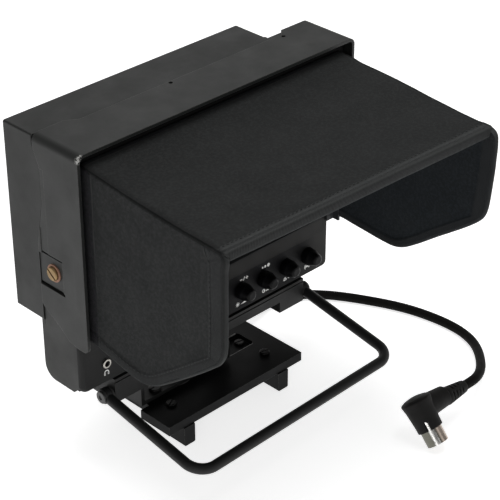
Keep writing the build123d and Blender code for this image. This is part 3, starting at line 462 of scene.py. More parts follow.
MATS = {
    "visor_paint": painted("visor_paint", (0.0196, 0.0207, 0.0200), 0.46, wear=(0.20, 0.20, 0.19), amount=0.35, spec=0.26, painted_top_light=0.34,
                           chips=[((-0.1096, 0.0242, 0.2165), 0.0030), ((-0.1078, 0.0242, 0.2184), 0.0022)]),
    "housing_paint": painted("housing_paint", (0.0182, 0.0192, 0.0186), 0.48, wear=(0.18, 0.18, 0.17), amount=0.3, spec=0.24, painted_top_light=0.32),
    "body_moulding": painted("body_moulding", (0.0188, 0.0197, 0.0190), 0.48, 0.00004, (0.15, 0.15, 0.14), 0.25, 0.0007, spec=0.26),
    "bezel_moulding": bezel(),
    "glass": None, "lcd": None,
    "panel_metal": metal("panel_metal", (0.70, 0.70, 0.71), 0.35, (1, 1, 0.06)),
    "board": None,
    "fixing_steel": metal("fixing_steel", (0.50, 0.50, 0.50), 0.32, (0.1, 1, 1)),
    "pot_body": moulded("pot_body", (0.05, 0.07, 0.12), 0.4),
    "socket_plastic": moulded("socket_plastic", (0.012, 0.012, 0.012), 0.5),
    "nickel": None,
    "hood_fabric": None,
    "hood_strip": moulded("hood_strip", (0.016, 0.018, 0.020), 0.6),
    "black_metal": painted("black_metal", (0.0075, 0.0077, 0.0078), 0.5, 0.00003, (0.13, 0.13, 0.125), 0.3, 0.0003, spec=0.25),
    "plate_metal": plate(),
    "rod_black": painted("rod_black", (0.0155, 0.0155, 0.0158), 0.48, 0.00002, (0.1, 0.1, 0.1), 0.2, 0.0003, spec=0.24),
    "pivot_cap": painted("pivot_cap", (0.034, 0.034, 0.034), 0.4, 0.00002, (0.25, 0.25, 0.25), 0.4, 0.0004),
    "bush_nylon": moulded("bush_nylon", (0.05, 0.05, 0.05), 0.5),
    "screw_black": metal("screw_black", (0.028, 0.028, 0.028), 0.34),
    "brass_screw": metal("brass_screw", (0.30, 0.205, 0.105), 0.46, dirt=0.5, tarnish=(0.10, 0.06, 0.03)),
    "fibre_washer": None,
    "knob_plastic": None,
    "cable_jacket": rubber("cable_jacket", (0.0046, 0.0043, 0.0038), 0.72, spec=0.10),
    "cable_rubber": rubber("cable_rubber", (0.0092, 0.0090, 0.0087), 0.66, spec=0.18, soft=0.0013),
    "plug_insulator": moulded("plug_insulator", (0.02, 0.02, 0.02), 0.45),
    "contact_brass": metal("contact_brass", (0.75, 0.60, 0.32), 0.22, dirt=0.1),
}

# glass of the screen: dark, glossy, a few smears
m = Mat("glass", (0.010, 0.013, 0.017), 0.06, 0.0, 0.6)
m.tint(0.2, 12.0, 3.0)
m.over(m.remap(m.noise(30.0, 6.0, 0.7, (1, 1, 0.4)), 0.62, 0.8, 0.0, 0.25), (0.05, 0.052, 0.055))
m.rough_by(m.noise(24.0, 5.0, 0.6), 0.45, 0.8, 0.05, 0.22)
m.set("Coat Weight", 0.6)
m.set("Coat Roughness", 0.04)
MATS["glass"] = m.done()

m = Mat("lcd", (0.010, 0.012, 0.016), 0.3, 0.0, 0.5)
x, y, z = m.split(m.co)
m.tint(0.2, 20.0)
m.over(m.remap(m.math("SINE", m.math("MULTIPLY", x, 2 * math.pi / 0.0006)), 0.6, 1.0, 0.0, 0.3), (0.02, 0.03, 0.03))
m.add_height(m.noise(900.0), 0.00001)
MATS["lcd"] = m.done()

m = Mat("board", (0.012, 0.085, 0.04), 0.35, 0.0, 0.5)
m.tint(0.15, 40.0)
x, y, z = m.split(m.co)
tr = m.math("SINE", m.math("MULTIPLY", x, 2 * math.pi / 0.0042))
tz = m.math("SINE", m.math("MULTIPLY", z, 2 * math.pi / 0.0054))
m.over(m.remap(m.math("MAXIMUM", tr, tz), 0.93, 0.97, 0.0, 0.8), (0.03, 0.15, 0.07))
m.over(m.remap(m.voronoi(190.0), 0.10, 0.08, 0.0, 1.0), (0.5, 0.5, 0.48))
m.add_height(m.noise(1200.0), 0.00002)
MATS["board"] = m.done()

# satin nickel of the plug shell and the socket's ring; on the shell, painted reflections: a darker zone with bright,
# dark and brownish bands running along it, placed by position
m = Mat("nickel", (0.50, 0.485, 0.45), 0.20, 1.0, 0.5)
m.tint(0.06, 160.0, 3.0, 0.02)
m.over(m.remap(m.noise(420.0, 5.0, 0.7), 0.52, 0.8, 0.0, 0.5), (0.24, 0.21, 0.165))
ax = Vector((0.03, -0.6415, -0.7665)).normalized()
at = (Vector((57.95, -85.93, 21.7)) + ax * 17.0) * MM
side = Vector((-0.5996, -0.6094, 0.5188))
side = (side - ax * ax.dot(side)).normalized()
cross = side.cross(ax)
near = m.new("ShaderNodeVectorMath", operation="DISTANCE")
m.wire(m.co, near.inputs[0])
near.inputs[1].default_value = at
near = m.remap(near.outputs["Value"], 0.020, 0.018, 0.0, 1.0)
rel = m.new("ShaderNodeVectorMath", operation="SUBTRACT")
m.wire(m.co, rel.inputs[0])
rel.inputs[1].default_value = at
dt = m.new("ShaderNodeVectorMath", operation="DOT_PRODUCT")
m.wire(rel.outputs["Vector"], dt.inputs[0])
dt.inputs[1].default_value = cross
u = m.math("ADD", dt.outputs["Value"], m.math("MULTIPLY", m.math("SUBTRACT", m.noise(300.0, 3.0), 0.5), 0.0012))
# painted reflections on the plug shell: a darker zone with bright, dark and brownish bands running along it
m.over(near, (0.17, 0.168, 0.14))
m.over(m.math("MULTIPLY", near, m.remap(u, -0.0026, -0.0017, 0.0, 1.0)), (0.90, 0.89, 0.86))
m.over(m.math("MULTIPLY", near, m.remap(u, 0.0012, 0.0018, 0.0, 1.0)), (0.16, 0.145, 0.12))
m.over(m.math("MULTIPLY", near, m.remap(u, 0.0023, 0.0030, 0.0, 0.85)), (0.50, 0.42, 0.36))
m.add_height(m.noise(900.0, 2.0, 0.5, (1, 0.1, 0.1)), 0.000012)
m.rough_by(m.noise(260.0, 4.0), 0.3, 0.7, 0.17, 0.36)
m.edge(0.0002)
MATS["nickel"] = m.done()

m = Mat("fibre_washer", (0.30, 0.17, 0.12), 0.75, 0.0, 0.3)
m.tint(0.2, 900.0, 3.0, 0.05)
m.add_height(m.noise(2400.0), 0.00005)
MATS["fibre_washer"] = m.done()

# knobs: matt skirt and smoother tip, with painted light making the tip paler
m = Mat("knob_plastic", (0.0024, 0.0024, 0.0031), 0.42, 0.0, 0.12)
m.tint(0.12, 60.0)
x, y, z = m.split(m.co)
tip = m.remap(y, 0.0262, 0.0228, 0.0, 1.0, "SMOOTHSTEP")
m.over(m.math("MULTIPLY", tip, 0.85), (0.0034, 0.0034, 0.0037))
m.add_height(m.noise(2600.0), 0.00003)
gl = m.math("SUBTRACT", 0.52, m.math("MULTIPLY", tip, 0.20))
m.wire(gl, m.b.inputs["Roughness"])
m.edge(0.0005)
MATS["knob_plastic"] = m.done()

m = Mat("white_print", (0.86, 0.86, 0.84), 0.6, 0.0, 0.3)
m.tint(0.06, 300.0)
m.add_height(m.noise(3000.0), 0.00001)
MATS["white_print"] = m.done()

m = Mat("stitch_thread", (0.036, 0.037, 0.037), 0.7, 0.0, 0.3)
m.tint(0.2, 900.0)
m.add_height(m.noise(5000.0, 2.0, 0.5, (1, 1, 0.2)), 0.00004)
MATS["stitch_thread"] = m.done()

HOOD_OUT = fabric("hood_fabric", (0.0188, 0.0196, 0.0193), (0.0245, 0.0254, 0.0251))
HOOD_IN = fabric("hood_lining", (0.0080, 0.0106, 0.0128), (0.0125, 0.0140, 0.0152), 0.9, True)
MATS["hood_fabric"] = HOOD_OUT


def cover(node, mat):
    o = N[node]
    o.data.materials.clear()
    o.data.materials.append(mat)


slots = {s["node"]: s["material_slot"] for s in frame["record"]["subparts"]}
for n in N:
    cover(n, MATS[slots[n]])


# --------------------------------------------------------------- mesh tools
def make(name, verts, faces, mats, body, smooth=True, index=None):
    me = bpy.data.meshes.new(name)
    me.from_pydata([tuple(v) for v in verts], [], faces)
    for mt in mats:
        me.materials.append(mt)
    if index is not None:
        me.polygons.foreach_set("material_index", index)
    me.polygons.foreach_set("use_smooth", [smooth] * len(me.polygons))
    me.update()
    o = link(bpy.data.objects.new(name, me))
    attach(o, body)
    return o


def smoothstep(a, b, x):
    t = np.clip((x - a) / (b - a), 0.0, 1.0)
    return t * t * (3 - 2 * t)


def curve2(points, n, fracs=None):
    """Smooth open curve through points, resampled by arc length."""
    p = np.array(points, float)
    p = np.vstack([2 * p[0] - p[1], p, 2 * p[-1] - p[-2]])
    out = []
    for i in range(1, len(p) - 2):
        a, b, c, d = p[i - 1], p[i], p[i + 1], p[i + 2]
        for t in np.linspace(0, 1, 24, endpoint=False):
            out.append(0.5 * ((2 * b) + (c - a) * t + (2 * a - 5 * b + 4 * c - d) * t ** 2 + (3 * b - a - 3 * c + d) * t ** 3))
    out.append(p[-2])
    out = np.array(out)
    s = np.concatenate([[0], np.cumsum(np.linalg.norm(np.diff(out, axis=0), axis=1))])
    f = np.linspace(0, 1, n) if fracs is None else np.asarray(fracs)
    return np.stack([np.interp(f * s[-1], s, out[:, k]) for k in range(out.shape[1])], 1)


# -------------------------------------------------------------------- hood
# One folded sheet of coated cloth: left side, crease, top, crease, right side.
# Millimetres (y, z) in the sides' planes, from the crease at the front, down
# the front edge, round the lower corner and back along the bottom.
HALF = 104.5
L_EDGE = [(-80.6, 202.2), (-82.8, 200.6), (-83.9, 197.4), (-84.2, 190.0), (-84.1, 176.4), (-84.0, 164.1), (-83.8, 152.0),
          (-83.5, 143.0), (-82.4, 137.4), (-79.3, 131.7), (-74.6, 127.3), (-63.9, 118.4), (-47.7, 105.9), (-35.2, 96.6),
          (-28.6, 92.2), (-22.0, 89.2), (-16.0, 88.1), (-9.0, 88.3), (-2.0, 89.4), (11.6, 92.1), (30.4, 96.0)]
L_CORNER = 9
R_EDGE = [(-86.8, 201.6), (-91.2, 200.4), (-93.8, 197.0), (-94.2, 190.5), (-93.9, 184.0), (-93.6, 175.0), (-92.7, 162.0),
          (-91.6, 150.5), (-89.9, 143.2), (-86.0, 137.4), (-77.8, 130.3), (-66.0, 121.4), (-55.4, 113.7), (-43.0, 104.2),
          (-34.0, 97.8), (-28.0, 94.3), (-21.0, 92.3), (-13.0, 92.2), (1.2, 93.2), (18.5, 94.7), (30.4, 95.6)]
R_CORNER = 9
CREASE_L = [(30.4, 210.2), (12.0, 208.3), (-20.0, 205.2), (-50.9, 203.2), (-80.6, 202.2)]
CREASE_R = [(30.4, 210.2), (18.0, 208.9), (10.9, 207.9), (-8.6, 207.2), (-18.2, 206.7), (-37.1, 204.9), (-55.5, 203.4), (-73.7, 202.1), (-86.8, 201.5)]
T_CLOTH = 3.2
HEM_SIDE, HEM_TOP, HEM_IN = 12.0, 6.6, 9.0
LOWER = 1.54            # how much narrower the hem is along the bottom
ROLL_SIDE = 2.3
ROLL_TOP = 3.1

S_F = np.concatenate([np.linspace(0, 0.80, 34, endpoint=False), np.linspace(0.80, 1, 34)])
T_F = np.concatenate([np.linspace(0, 0.76, 34, endpoint=False), np.linspace(0.76, 1, 30)])     # 0 at the crease, 1 at the bottom
NX = 128


def outline(points, corner):
    """Front part and bottom part of an edge, drawn in by the roll, and the true edge."""
    full = curve2(points, 700)
    at = int(np.argmin(np.linalg.norm(full - np.array(points[corner]), axis=1)))
    tan = np.gradient(full, axis=0)
    tan /= np.linalg.norm(tan, axis=1)[:, None]
    inward = np.stack([-tan[:, 1], tan[:, 0]], 1)          # towards the cloth
    c = np.array([-20.0, 160.0])
    if ((c - full) * inward).sum(1).mean() < 0:
        inward = -inward
    k = smoothstep(0.0, 40.0, np.arange(len(full)) * 1.0)[:, None]
    drawn = full + inward * (ROLL_SIDE * k)
    # the hem's front run and bottom run, each carried on past the corner
    a = int(np.argmin(np.linalg.norm(full - np.array(points[corner - 2]), axis=1)))
    b = int(np.argmin(np.linalg.norm(full - np.array(points[corner + 2]), axis=1)))
    ta, tb = full[a] - full[a - 25], full[b + 25] - full[b]
    ta, tb = ta / np.linalg.norm(ta), tb / np.linalg.norm(tb)
    far = np.linspace(0.0, 34.0, 120)[1:, None]
    run_f = np.vstack([full[: a + 1], full[a] + ta * far])
    run_b = np.vstack([(full[b] - tb * far)[::-1], full[b:]])
    return full, drawn[: at + 1], drawn[at:][::-1], (run_f, run_b)


def resample(p, f):
    s = np.concatenate([[0], np.cumsum(np.linalg.norm(np.diff(p, axis=0), axis=1))])
    return np.stack([np.interp(np.asarray(f) * s[-1], s, p[:, k]) for k in range(p.shape[1])], 1)


FULL_L, FRONT_L, BOT_L, W_L = outline(L_EDGE, L_CORNER)
FULL_R, FRONT_R, BOT_R, W_R = outline(R_EDGE, R_CORNER)


def side_patch(crease, front, bottom, low):
    """(rows, columns, 2) of a side; low is how far its top stays under the crease."""
    top = curve2(crease, 0, S_F) - np.array([0.0, low])
    bot = resample(bottom, S_F)
    fr = resample(front, T_F)
    w = (1 - T_F)[:, None]
    fr = fr - w * (fr[0] - top[-1])
    rear = top[0][None] * (1 - T_F)[:, None] + bot[0][None] * T_F[:, None]
    s, t = S_F[:, None, None], T_F[None, :, None]
    a, b, c, d = top[0], top[-1], bot[0], fr[-1]
    bot = bot + S_F[:, None] * (d - bot[-1])
    g = (1 - t) * top[:, None] + t * bot[:, None] + (1 - s) * rear[None] + s * fr[None]
    g = g - ((1 - s) * (1 - t) * a + s * (1 - t) * b + (1 - s) * t * c + s * t * d)
    return g


def near_edge(g, runs):
    """Distance to the edge's two runs, in hem widths, and place along them, for each point of a side."""
    p = g.reshape(-1, 2)
    best, at = None, None
    for run, wt, start in ((runs[0], 1.0, 0.0), (runs[1], LOWER, 50.0)):
        s = np.concatenate([[0], np.cumsum(np.linalg.norm(np.diff(run, axis=0), axis=1))]) + start
        d = np.linalg.norm(p[:, None] - run[None], axis=2) * wt
        i = d.argmin(1)
        d = d.min(1)
        if best is None:
            best, at = d, s[i]
        else:
            at = np.where(d < best, s[i], at)
            best = np.minimum(best, d)
    return best.reshape(g.shape[:2]), at.reshape(g.shape[:2])


def layer(inner):
    t = T_CLOTH if inner else 0.0
    rho = 0.7 if inner else 1.7
    na = 6
    half = HALF - t
    rows = len(S_F)
    cols = []      # each: (pos (rows,3), normal (rows,3), hem, seam, edge u, edge d)
    cl, cr = curve2(CREASE_L, 0, S_F), curve2(CREASE_R, 0, S_F)
    gl = side_patch(CREASE_L, FRONT_L, BOT_L, t + rho)
    gr = side_patch(CREASE_R, FRONT_R, BOT_R, t + rho)
    dl, ul = near_edge(gl, W_L)
    dr, ur = near_edge(gr, W_R)
    bow = 0.0

    def side(g, d, u, sx, j):
        pos = np.stack([np.full(rows, sx * half), g[:, j, 0], g[:, j, 1]], 1)
        nrm = np.tile([float(sx), 0.0, 0.0], (rows, 1))
        hw = HEM_IN if inner else HEM_SIDE
        hem = 1 - smoothstep(hw - 0.45, hw + 0.45, d[:, j])
        return pos, nrm, hem, np.zeros(rows), u[:, j], d[:, j]

    for j in range(len(T_F) - 1, -1, -1):
        cols.append(side(gl, dl, ul, -1, j))
    nl = len(cols)

    def topcol(x, f, phi_n=None, z_off=0.0, x_at=None, hem_w=HEM_TOP, seam=0.0, u0=0.0):
        yz = cl * (1 - f) + cr * f
        d = (yz[:, 0] - yz[-1, 0]) + ROLL_TOP
        if inner:
            hem_w = HEM_IN
        crown = 0.0
        pos = np.stack([np.full(rows, x), yz[:, 0], yz[:, 1] - t + z_off + crown], 1)
        nrm = np.tile([0.0, 0.0, 1.0] if phi_n is None else list(phi_n), (rows, 1))
        hem = 1 - smoothstep(hem_w - 0.4, hem_w + 0.4, d)
        return pos, nrm, hem, np.full(rows, seam), np.full(rows, u0 + x + 400.0), d

    for k in range(1, na):
        ph = math.pi / 2 * k / na
        sm = 0.0 if inner else math.exp(-((k - 3.4) / 1.2) ** 2)
        cols.append(topcol(-(half - rho) - rho * math.cos(ph), 0.0, (-math.cos(ph), 0, math.sin(ph)), -rho + rho * math.sin(ph),
                           hem_w=HEM_SIDE + (HEM_TOP - HEM_SIDE) * k / na, seam=sm))
    xs = np.linspace(-(half - rho), half - rho, NX)
    for x in xs:
        edge_seam = 0.0 if inner else 0.55 * math.exp(-(((HALF - 1.7) - abs(x)) / 0.9) ** 2)
        cols.append(topcol(x, (x + half) / (2 * half), seam=edge_seam))
    for k in range(na - 1, 0, -1):
        ph = math.pi / 2 * k / na
        sm = 0.0 if inner else math.exp(-((k - 3.4) / 1.2) ** 2)
        cols.append(topcol((half - rho) + rho * math.cos(ph), 1.0, (math.cos(ph), 0, math.sin(ph)), -rho + rho * math.sin(ph),
                           hem_w=HEM_SIDE + (HEM_TOP - HEM_SIDE) * k / na, seam=sm))
    nr = len(cols)
    for j in range(len(T_F)):
        cols.append(side(gr, dr, ur, 1, j))
    P = np.stack([c[0] for c in cols], 1)
    Nn = np.stack([c[1] for c in cols], 1)
    hem = np.stack([c[2] for c in cols], 1)
    seam = np.stack([c[3] for c in cols], 1)
    eu = np.stack([c[4] for c in cols], 1)
    ed = np.stack([c[5] for c in cols], 1)
    is_top = np.zeros(P.shape[1])
    is_top[nl:nr] = 1.0
    is_top[nl:nl + na] = np.linspace(0, 1, na)
    is_top[nr - na:nr] = np.linspace(1, 0, na)
    # hems stand proud; inside, the top's turned-under cloth is thicker
    if not inner:
        h = hem * (0.75 - 0.2 * is_top[None])
        stitch_at = 10.2 * (1 - is_top[None]) + 5.0 * is_top[None]
        h = h - 0.40 * np.exp(-((ed - stitch_at) / 0.7) ** 2) * hem
        h = h - 0.75 * seam * (1 - smoothstep(0.0, 3.0, -(ed - 3.0)))
    else:
        wide = 1 - smoothstep(HEM_IN, HEM_IN + 1.0, ed)
        h = -(wide * (0.6 * (1 - is_top[None]) + 3.2 * is_top[None]))
    # slow ripples of the cloth
    rip = np.zeros(P.shape[:2])
    for r_ in range(P.shape[0]):
        for c_ in range(P.shape[1]):
            p = P[r_, c_]
            rip[r_, c_] = noise.noise(Vector((p[0] * 0.018 + 3.1, p[1] * 0.022, p[2] * 0.020 + 7.7))) + 0.35 * noise.noise(Vector((p[0] * 0.06, p[1] * 0.07, p[2] * 0.06)))
    hold = smoothstep(0.0, 14.0, P[:, :, 1] * -1 + 30.4)
    h = h + rip * 0.8 * hold * (1 - 0.6 * hem) * (1 - np.clip(seam, 0, 1))
    P = P + Nn * h[:, :, None]
    cloth_u = np.concatenate([[0], np.cumsum(np.linalg.norm(np.diff(P.mean(0), axis=0), axis=1))])
    cloth_v = np.concatenate([[0], np.cumsum(np.linalg.norm(np.diff(P.mean(1), axis=0), axis=1))])
    return P, Nn, hem, seam, eu, ed, cloth_u, cloth_v


def build_hood():
    A = layer(False)
    B = layer(True)
    rows, cols = A[0].shape[:2]
    verts, uv_c, uv_e, hem, seam = [], [], [], [], []

    def add(P, L, flip):
        base = len(verts)
        for r in range(rows):
            for c in range(cols):
                verts.append(P[r, c] * MM)
                uv_c.append((L[6][c] * MM, L[7][r] * MM))
                uv_e.append((L[4][r, c] * MM, L[5][r, c] * MM))
                hem.append(L[2][r, c])
                seam.append(min(1.0, L[3][r, c]))
        return base

    o_out = add(A[0], A, False)
    o_in = add(B[0], B, True)
    faces, index = [], []
    for r in range(rows - 1):
        for c in range(cols - 1):
            q = [o_out + r * cols + c, o_out + r * cols + c + 1, o_out + (r + 1) * cols + c + 1, o_out + (r + 1) * cols + c]
            faces.append(tuple(q))
            index.append(0)
            q = [o_in + r * cols + c, o_in + (r + 1) * cols + c, o_in + (r + 1) * cols + c + 1, o_in + r * cols + c + 1]
            faces.append(tuple(q))
            index.append(1)
    # the free edge: rear bottom left, forward, up and over, and back
    loop = [(r, 0) for r in range(rows)] + [(rows - 1, c) for c in range(1, cols)] + [(r, cols - 1) for r in range(rows - 2, -1, -1)]
    K = 9
    rings = []
    arc = 0.0
    prev = None
    for i, (r, c) in enumerate(loop):
        a, b = A[0][r, c], B[0][r, c]
        i0, i1 = max(0, i - 3), min(len(loop) - 1, i + 3)
        tan = A[0][loop[i1]] - A[0][loop[i0]]
        tan /= np.linalg.norm(tan)
        nrm = a - b
        nrm = nrm - tan * float(nrm @ tan)
        nrm /= np.linalg.norm(nrm)
        out = np.cross(nrm, tan)
        inner_pt = A[0][min(r, rows - 6), min(max(c, 5), cols - 6)]
        if float(out @ (a - inner_pt)) < 0:
            out = -out
        mid, half_v = (a + b) / 2, (a - b) / 2
        rad = float(np.linalg.norm(half_v))
        fade = 1.0
        if prev is not None:
            arc += float(np.linalg.norm(a - prev))
        prev = a
        ring = [o_out + r * cols + c]
        for k in range(1, K):
            th = math.pi * k / K
            q = 1.0 - 0.42 * abs(float(nrm[2]))          # flatter face along the top's front
            cth, sth = math.cos(th), math.sin(th)
            p = mid + half_v * math.copysign(abs(cth) ** q, cth) + out * rad * 0.95 * sth ** q * fade
            verts.append(p * MM)
            uv_c.append((arc * MM, k * 0.0008))
            uv_e.append((arc * MM, k * 0.0008))
            hem.append(1.0)
            seam.append(0.0)
            ring.append(len(verts) - 1)
        ring.append(o_in + r * cols + c)
        rings.append(ring)
    for a, b in zip(rings[:-1], rings[1:]):
        for k in range(K):
            faces.append((a[k], a[k + 1], b[k + 1], b[k]))
            index.append(0 if k < 6 else 1)
    # rear edge closed against the bezel
    for c in range(cols - 1):
        faces.append((o_out + c + 1, o_out + c, o_in + c, o_in + c + 1))
        index.append(1)
    o = make("hood", verts, faces, [HOOD_OUT, HOOD_IN], "head", True, index)
    me = o.data
    vi = np.zeros(len(me.loops), dtype=np.int32)
    me.loops.foreach_get("vertex_index", vi)
    for name, data in (("cloth", uv_c), ("edge", uv_e)):
        lay = me.uv_layers.new(name=name)
        lay.data.foreach_set("uv", np.array(data, np.float32)[vi].ravel())
    for name, data in (("hem", hem), ("seam", seam)):
        at = me.attributes.new(name, "FLOAT", "POINT")
        at.data.foreach_set("value", np.array(data, np.float32))
    bm = bmesh.new()
    bm.from_mesh(me)
    bmesh.ops.recalc_face_normals(bm, faces=bm.faces)
    bm.to_mesh(me)
    bm.free()
    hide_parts("hood_top_panel", "hood_side_panels")
    return o, A


hood, HOOD_LAYER = build_hood()


def capsule(verts, faces, at, along, up, length, wide, high, n=6, rings=5):
    """A small rounded stitch."""
    along, up = Vector(along).normalized(), Vector(up).normalized()
    sidev = along.cross(up).normalized()
    base = len(verts)
    at = Vector(at)
    for i in range(rings):
        f = i / (rings - 1) * 2 - 1
        sc = math.sqrt(max(0.0, 1 - abs(f) ** 3)) * 0.9 + 0.1
        for k in range(n):
            a = 2 * math.pi * k / n
            verts.append(at + along * (f * length / 2) + sidev * (math.cos(a) * wide / 2 * sc) + up * (math.sin(a) * high / 2 * sc))
    for i in range(rings - 1):
        for k in range(n):
            a, b = base + i * n + k, base + i * n + (k + 1) % n
            faces.append((a, b, b + n, a + n))
    faces.append(tuple(base + k for k in range(n))[::-1])
    faces.append(tuple(base + (rings - 1) * n + k for k in range(n)))


def within(p, ring):
    """Which points of p lie inside the closed ring."""
    c = np.zeros(len(p), bool)
    for (xa, ya), (xb, yb) in zip(ring, np.roll(ring, 1, axis=0)):
        c ^= ((ya > p[:, 1]) != (yb > p[:, 1])) & (p[:, 0] < (xb - xa) * (p[:, 1] - ya) / (yb - ya + 1e-12) + xa)
    return c


def hood_stitches():
    verts, faces = [], []
    for full, wt, runs, sx in ((W_L[0], 1.0, W_L, -1), (W_L[1], LOWER, W_L, -1), (W_R[0], 1.0, W_R, 1), (W_R[1], LOWER, W_R, 1)):
        ring = np.vstack([(FULL_L if sx < 0 else FULL_R), [[30.4, 212.0]]])
        tan = np.gradient(full, axis=0)
        tan /= np.linalg.norm(tan, axis=1)[:, None]
        inw = np.stack([-tan[:, 1], tan[:, 0]], 1)
        if ((np.array([-20.0, 160.0]) - full) * inw).sum(1).mean() < 0:
            inw = -inw
        off = full + inw * (11.0 / wt)
        d = near_edge(off[:, None], runs)[0][:, 0]
        keep = (d > 10.85) & (off[:, 0] < 18.5) & within(off, ring)
        off = off[keep]
        s = np.concatenate([[0], np.cumsum(np.linalg.norm(np.diff(off, axis=0), axis=1))])
        n = int(s[-1] / 3.1)
        pts = np.stack([np.interp(np.linspace(1.5, s[-1] - 1.5, n), s, off[:, k]) for k in (0, 1)], 1)
        for i in range(n):
            a, b = pts[max(0, i - 1)], pts[min(n - 1, i + 1)]
            j = random.uniform(-0.12, 0.12)
            p = pts[i]
            if p[1] > 195.5 and p[0] < -60:
                continue
            # surface there
            x = sx * (HALF + 0.60)
            capsule(verts, faces, (x * MM, (p[0] + j) * MM, p[1] * MM), (0, b[0] - a[0], b[1] - a[1]), (sx, 0, 0), 2.1 * MM, 0.55 * MM, 0.6 * MM)
    # along the top's front
    P, ed = HOOD_LAYER[0], HOOD_LAYER[5]
    n = int(205 / 3.1)
    cols = P.shape[1]
    c0 = len(T_F) + 6
    c1 = cols - len(T_F) - 6
    for i in range(n):
        c = c0 + (c1 - 1 - c0) * (i + 0.5) / n
        ca = int(c)
        r = int(np.argmin(np.abs(ed[:, ca] - 5.6)))
        p = P[r, ca] * (1 - (c - ca)) + P[r, ca + 1] * (c - ca)
        t = P[r, ca + 1] - P[r, ca]
        capsule(verts, faces, (p + np.array([0, random.uniform(-0.1, 0.1), 0.12])) * MM, t, (0, 0, 1), 2.1 * MM, 0.55 * MM, 0.6 * MM)
    return make("hood_stitches", verts, faces, [MATS["stitch_thread"]], "head")


stitches = hood_stitches()

# ------------------------------------------------------------------- cable
ROUTE = [(58.02, 80.0, 8.2), (68.4, 80.0, 8.2), (79.0, 81.6, 6.3), (90.2, 84.2, 4.1), (101.8, 85.2, 3.2),
         (113.4, 82.2, 3.15), (124.8, 74.4, 3.15), (134.9, 63.0, 3.15), (142.9, 50.5, 3.15), (149.8, 37.5, 3.15),
         (156.0, 24.6, 3.15), (160.9, 11.2, 3.15), (164.0, -2.9, 3.15), (165.6, -17.0, 3.15), (165.0, -31.0, 3.2),
         (160.3, -44.1, 4.1), (151.3, -56.0, 6.7), (140.6, -66.4, 9.9), (129.6, -75.5, 13.5), (119.2, -82.0, 16.7),
         (109.2, -85.64, 18.7), (99.2, -85.7, 19.3)]
CABLE_R = 3.15
cu = bpy.data.curves.new("cable_jacket", "CURVE")
cu.dimensions = "3D"
sp = cu.splines.new("NURBS")
sp.points.add(len(ROUTE) - 1)
for p, q in zip(sp.points, ROUTE):
    p.co = (q[0] * MM, q[1] * MM, q[2] * MM, 1)
sp.order_u = 3
sp.use_endpoint_u = True
sp.resolution_u = 10
cu.bevel_depth = CABLE_R * MM
cu.bevel_resolution = 8
cu.use_fill_caps = True
cu.materials.append(MATS["cable_jacket"])
cable = link(bpy.data.objects.new("cable_jacket", cu))
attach(cable, "mount")
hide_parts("cable")


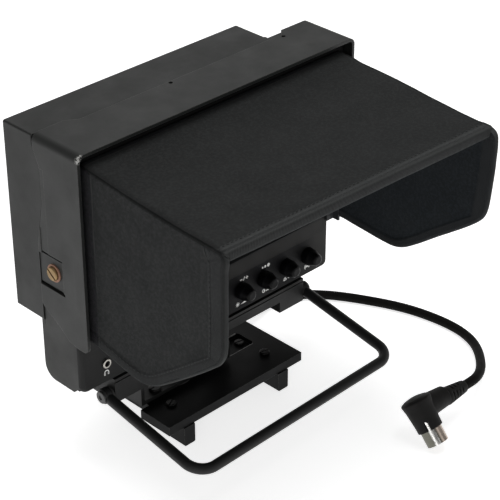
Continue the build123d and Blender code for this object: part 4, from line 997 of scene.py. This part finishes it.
# ------------------------------------------------- printed marks (generic)
def marks():
    verts, faces = [], []
    Y0, Y1 = 31.9 - 0.07, 31.9

    def prism(poly):
        base = len(verts)
        n = len(poly)
        for y in (Y0, Y1):
            for x, z in poly:
                verts.append((x * MM, y * MM, z * MM))
        faces.append(tuple(base + i for i in range(n)))
        for i in range(n):
            j = (i + 1) % n
            faces.append((base + i, base + n + i, base + n + j, base + j))

    def bar(x0, z0, x1, z1, w):
        dx, dz = x1 - x0, z1 - z0
        l = math.hypot(dx, dz)
        w *= 1.3
        nx, nz = -dz / l * w / 2, dx / l * w / 2
        prism([(x0 + nx, z0 + nz), (x0 - nx, z0 - nz), (x1 - nx, z1 - nz), (x1 + nx, z1 + nz)])

    def disc(x, z, r, n=20, a0=0.0, a1=2 * math.pi):
        pts = [(x + r * math.cos(a0 + (a1 - a0) * i / n), z + r * math.sin(a0 + (a1 - a0) * i / n)) for i in range(n + (0 if a1 - a0 > 6.2 else 1))]
        prism(pts)

    def ring(x, z, r, w, n=28, a0=0.0, a1=2 * math.pi):
        w *= 1.25
        for i in range(n):
            b0, b1 = a0 + (a1 - a0) * i / n, a0 + (a1 - a0) * (i + 1) / n
            prism([(x + (r - w) * math.cos(b0), z + (r - w) * math.sin(b0)), (x + r * math.cos(b0), z + r * math.sin(b0)),
                   (x + r * math.cos(b1), z + r * math.sin(b1)), (x + (r - w) * math.cos(b1), z + (r - w) * math.sin(b1))])

    # knob 1, above: minus, slash, plus
    bar(18.9, 80.4, 20.9, 80.4, 0.55)
    bar(21.6, 79.1, 23.0, 81.7, 0.5)
    bar(23.7, 80.4, 25.9, 80.4, 0.55)
    bar(24.8, 79.3, 24.8, 81.5, 0.55)
    # knob 2, above: three growing dots
    disc(38.7, 81.2, 0.65)
    disc(41.0, 81.2, 0.95)
    disc(43.9, 81.2, 1.25)
    # knob 1, below: sun and wedge
    disc(16.7, 63.5, 0.75)
    for i in range(8):
        a = math.pi / 4 * i
        bar(16.7 + 1.05 * math.cos(a), 63.5 + 1.05 * math.sin(a), 16.7 + 1.6 * math.cos(a), 63.5 + 1.6 * math.sin(a), 0.35)
    prism([(19.2, 62.6), (24.9, 62.6), (24.9, 64.7)])
    # knob 2, below: half-filled circle and ticks
    ring(39.7, 63.5, 1.35, 0.35)
    disc(39.7, 63.5, 1.2, 12, -math.pi / 2, math.pi / 2)
    for i in range(3):
        bar(41.9 + i * 0.9, 62.4, 41.9 + i * 0.9, 63.3 + i * 0.55, 0.5)
    # knob 3, below: outlined peak
    for x0, z0, x1, z1 in ((57.4, 63.0, 58.9, 65.0), (58.9, 65.0, 60.4, 63.0), (57.4, 63.0, 60.4, 63.0)):
        bar(x0, z0, x1, z1, 0.45)
    bar(61.2, 64.0, 63.2, 64.0, 0.5)
    bar(62.2, 63.0, 62.2, 65.0, 0.5)
    # knob 4, below: lamp with arcs
    disc(79.2, 64.6, 0.75)
    for r_ in (1.5, 2.4):
        ring(79.2, 64.6, r_, 0.4, 8, -0.8, 0.8)
        ring(79.2, 64.6, r_, 0.4, 8, math.pi - 0.8, math.pi + 0.8)
    # headphones under the socket
    cx, cz = -91.0, 65.4
    ring(cx, cz, 1.8, 0.5, 16, -0.9, math.pi + 0.9)
    for s in (-1, 1):
        bar(cx + s * 1.35, cz - 0.1, cx + s * 1.35, cz - 1.7, 0.85)
    return make("printed_marks", verts, faces, [MATS["white_print"]], "head", False)


marks()
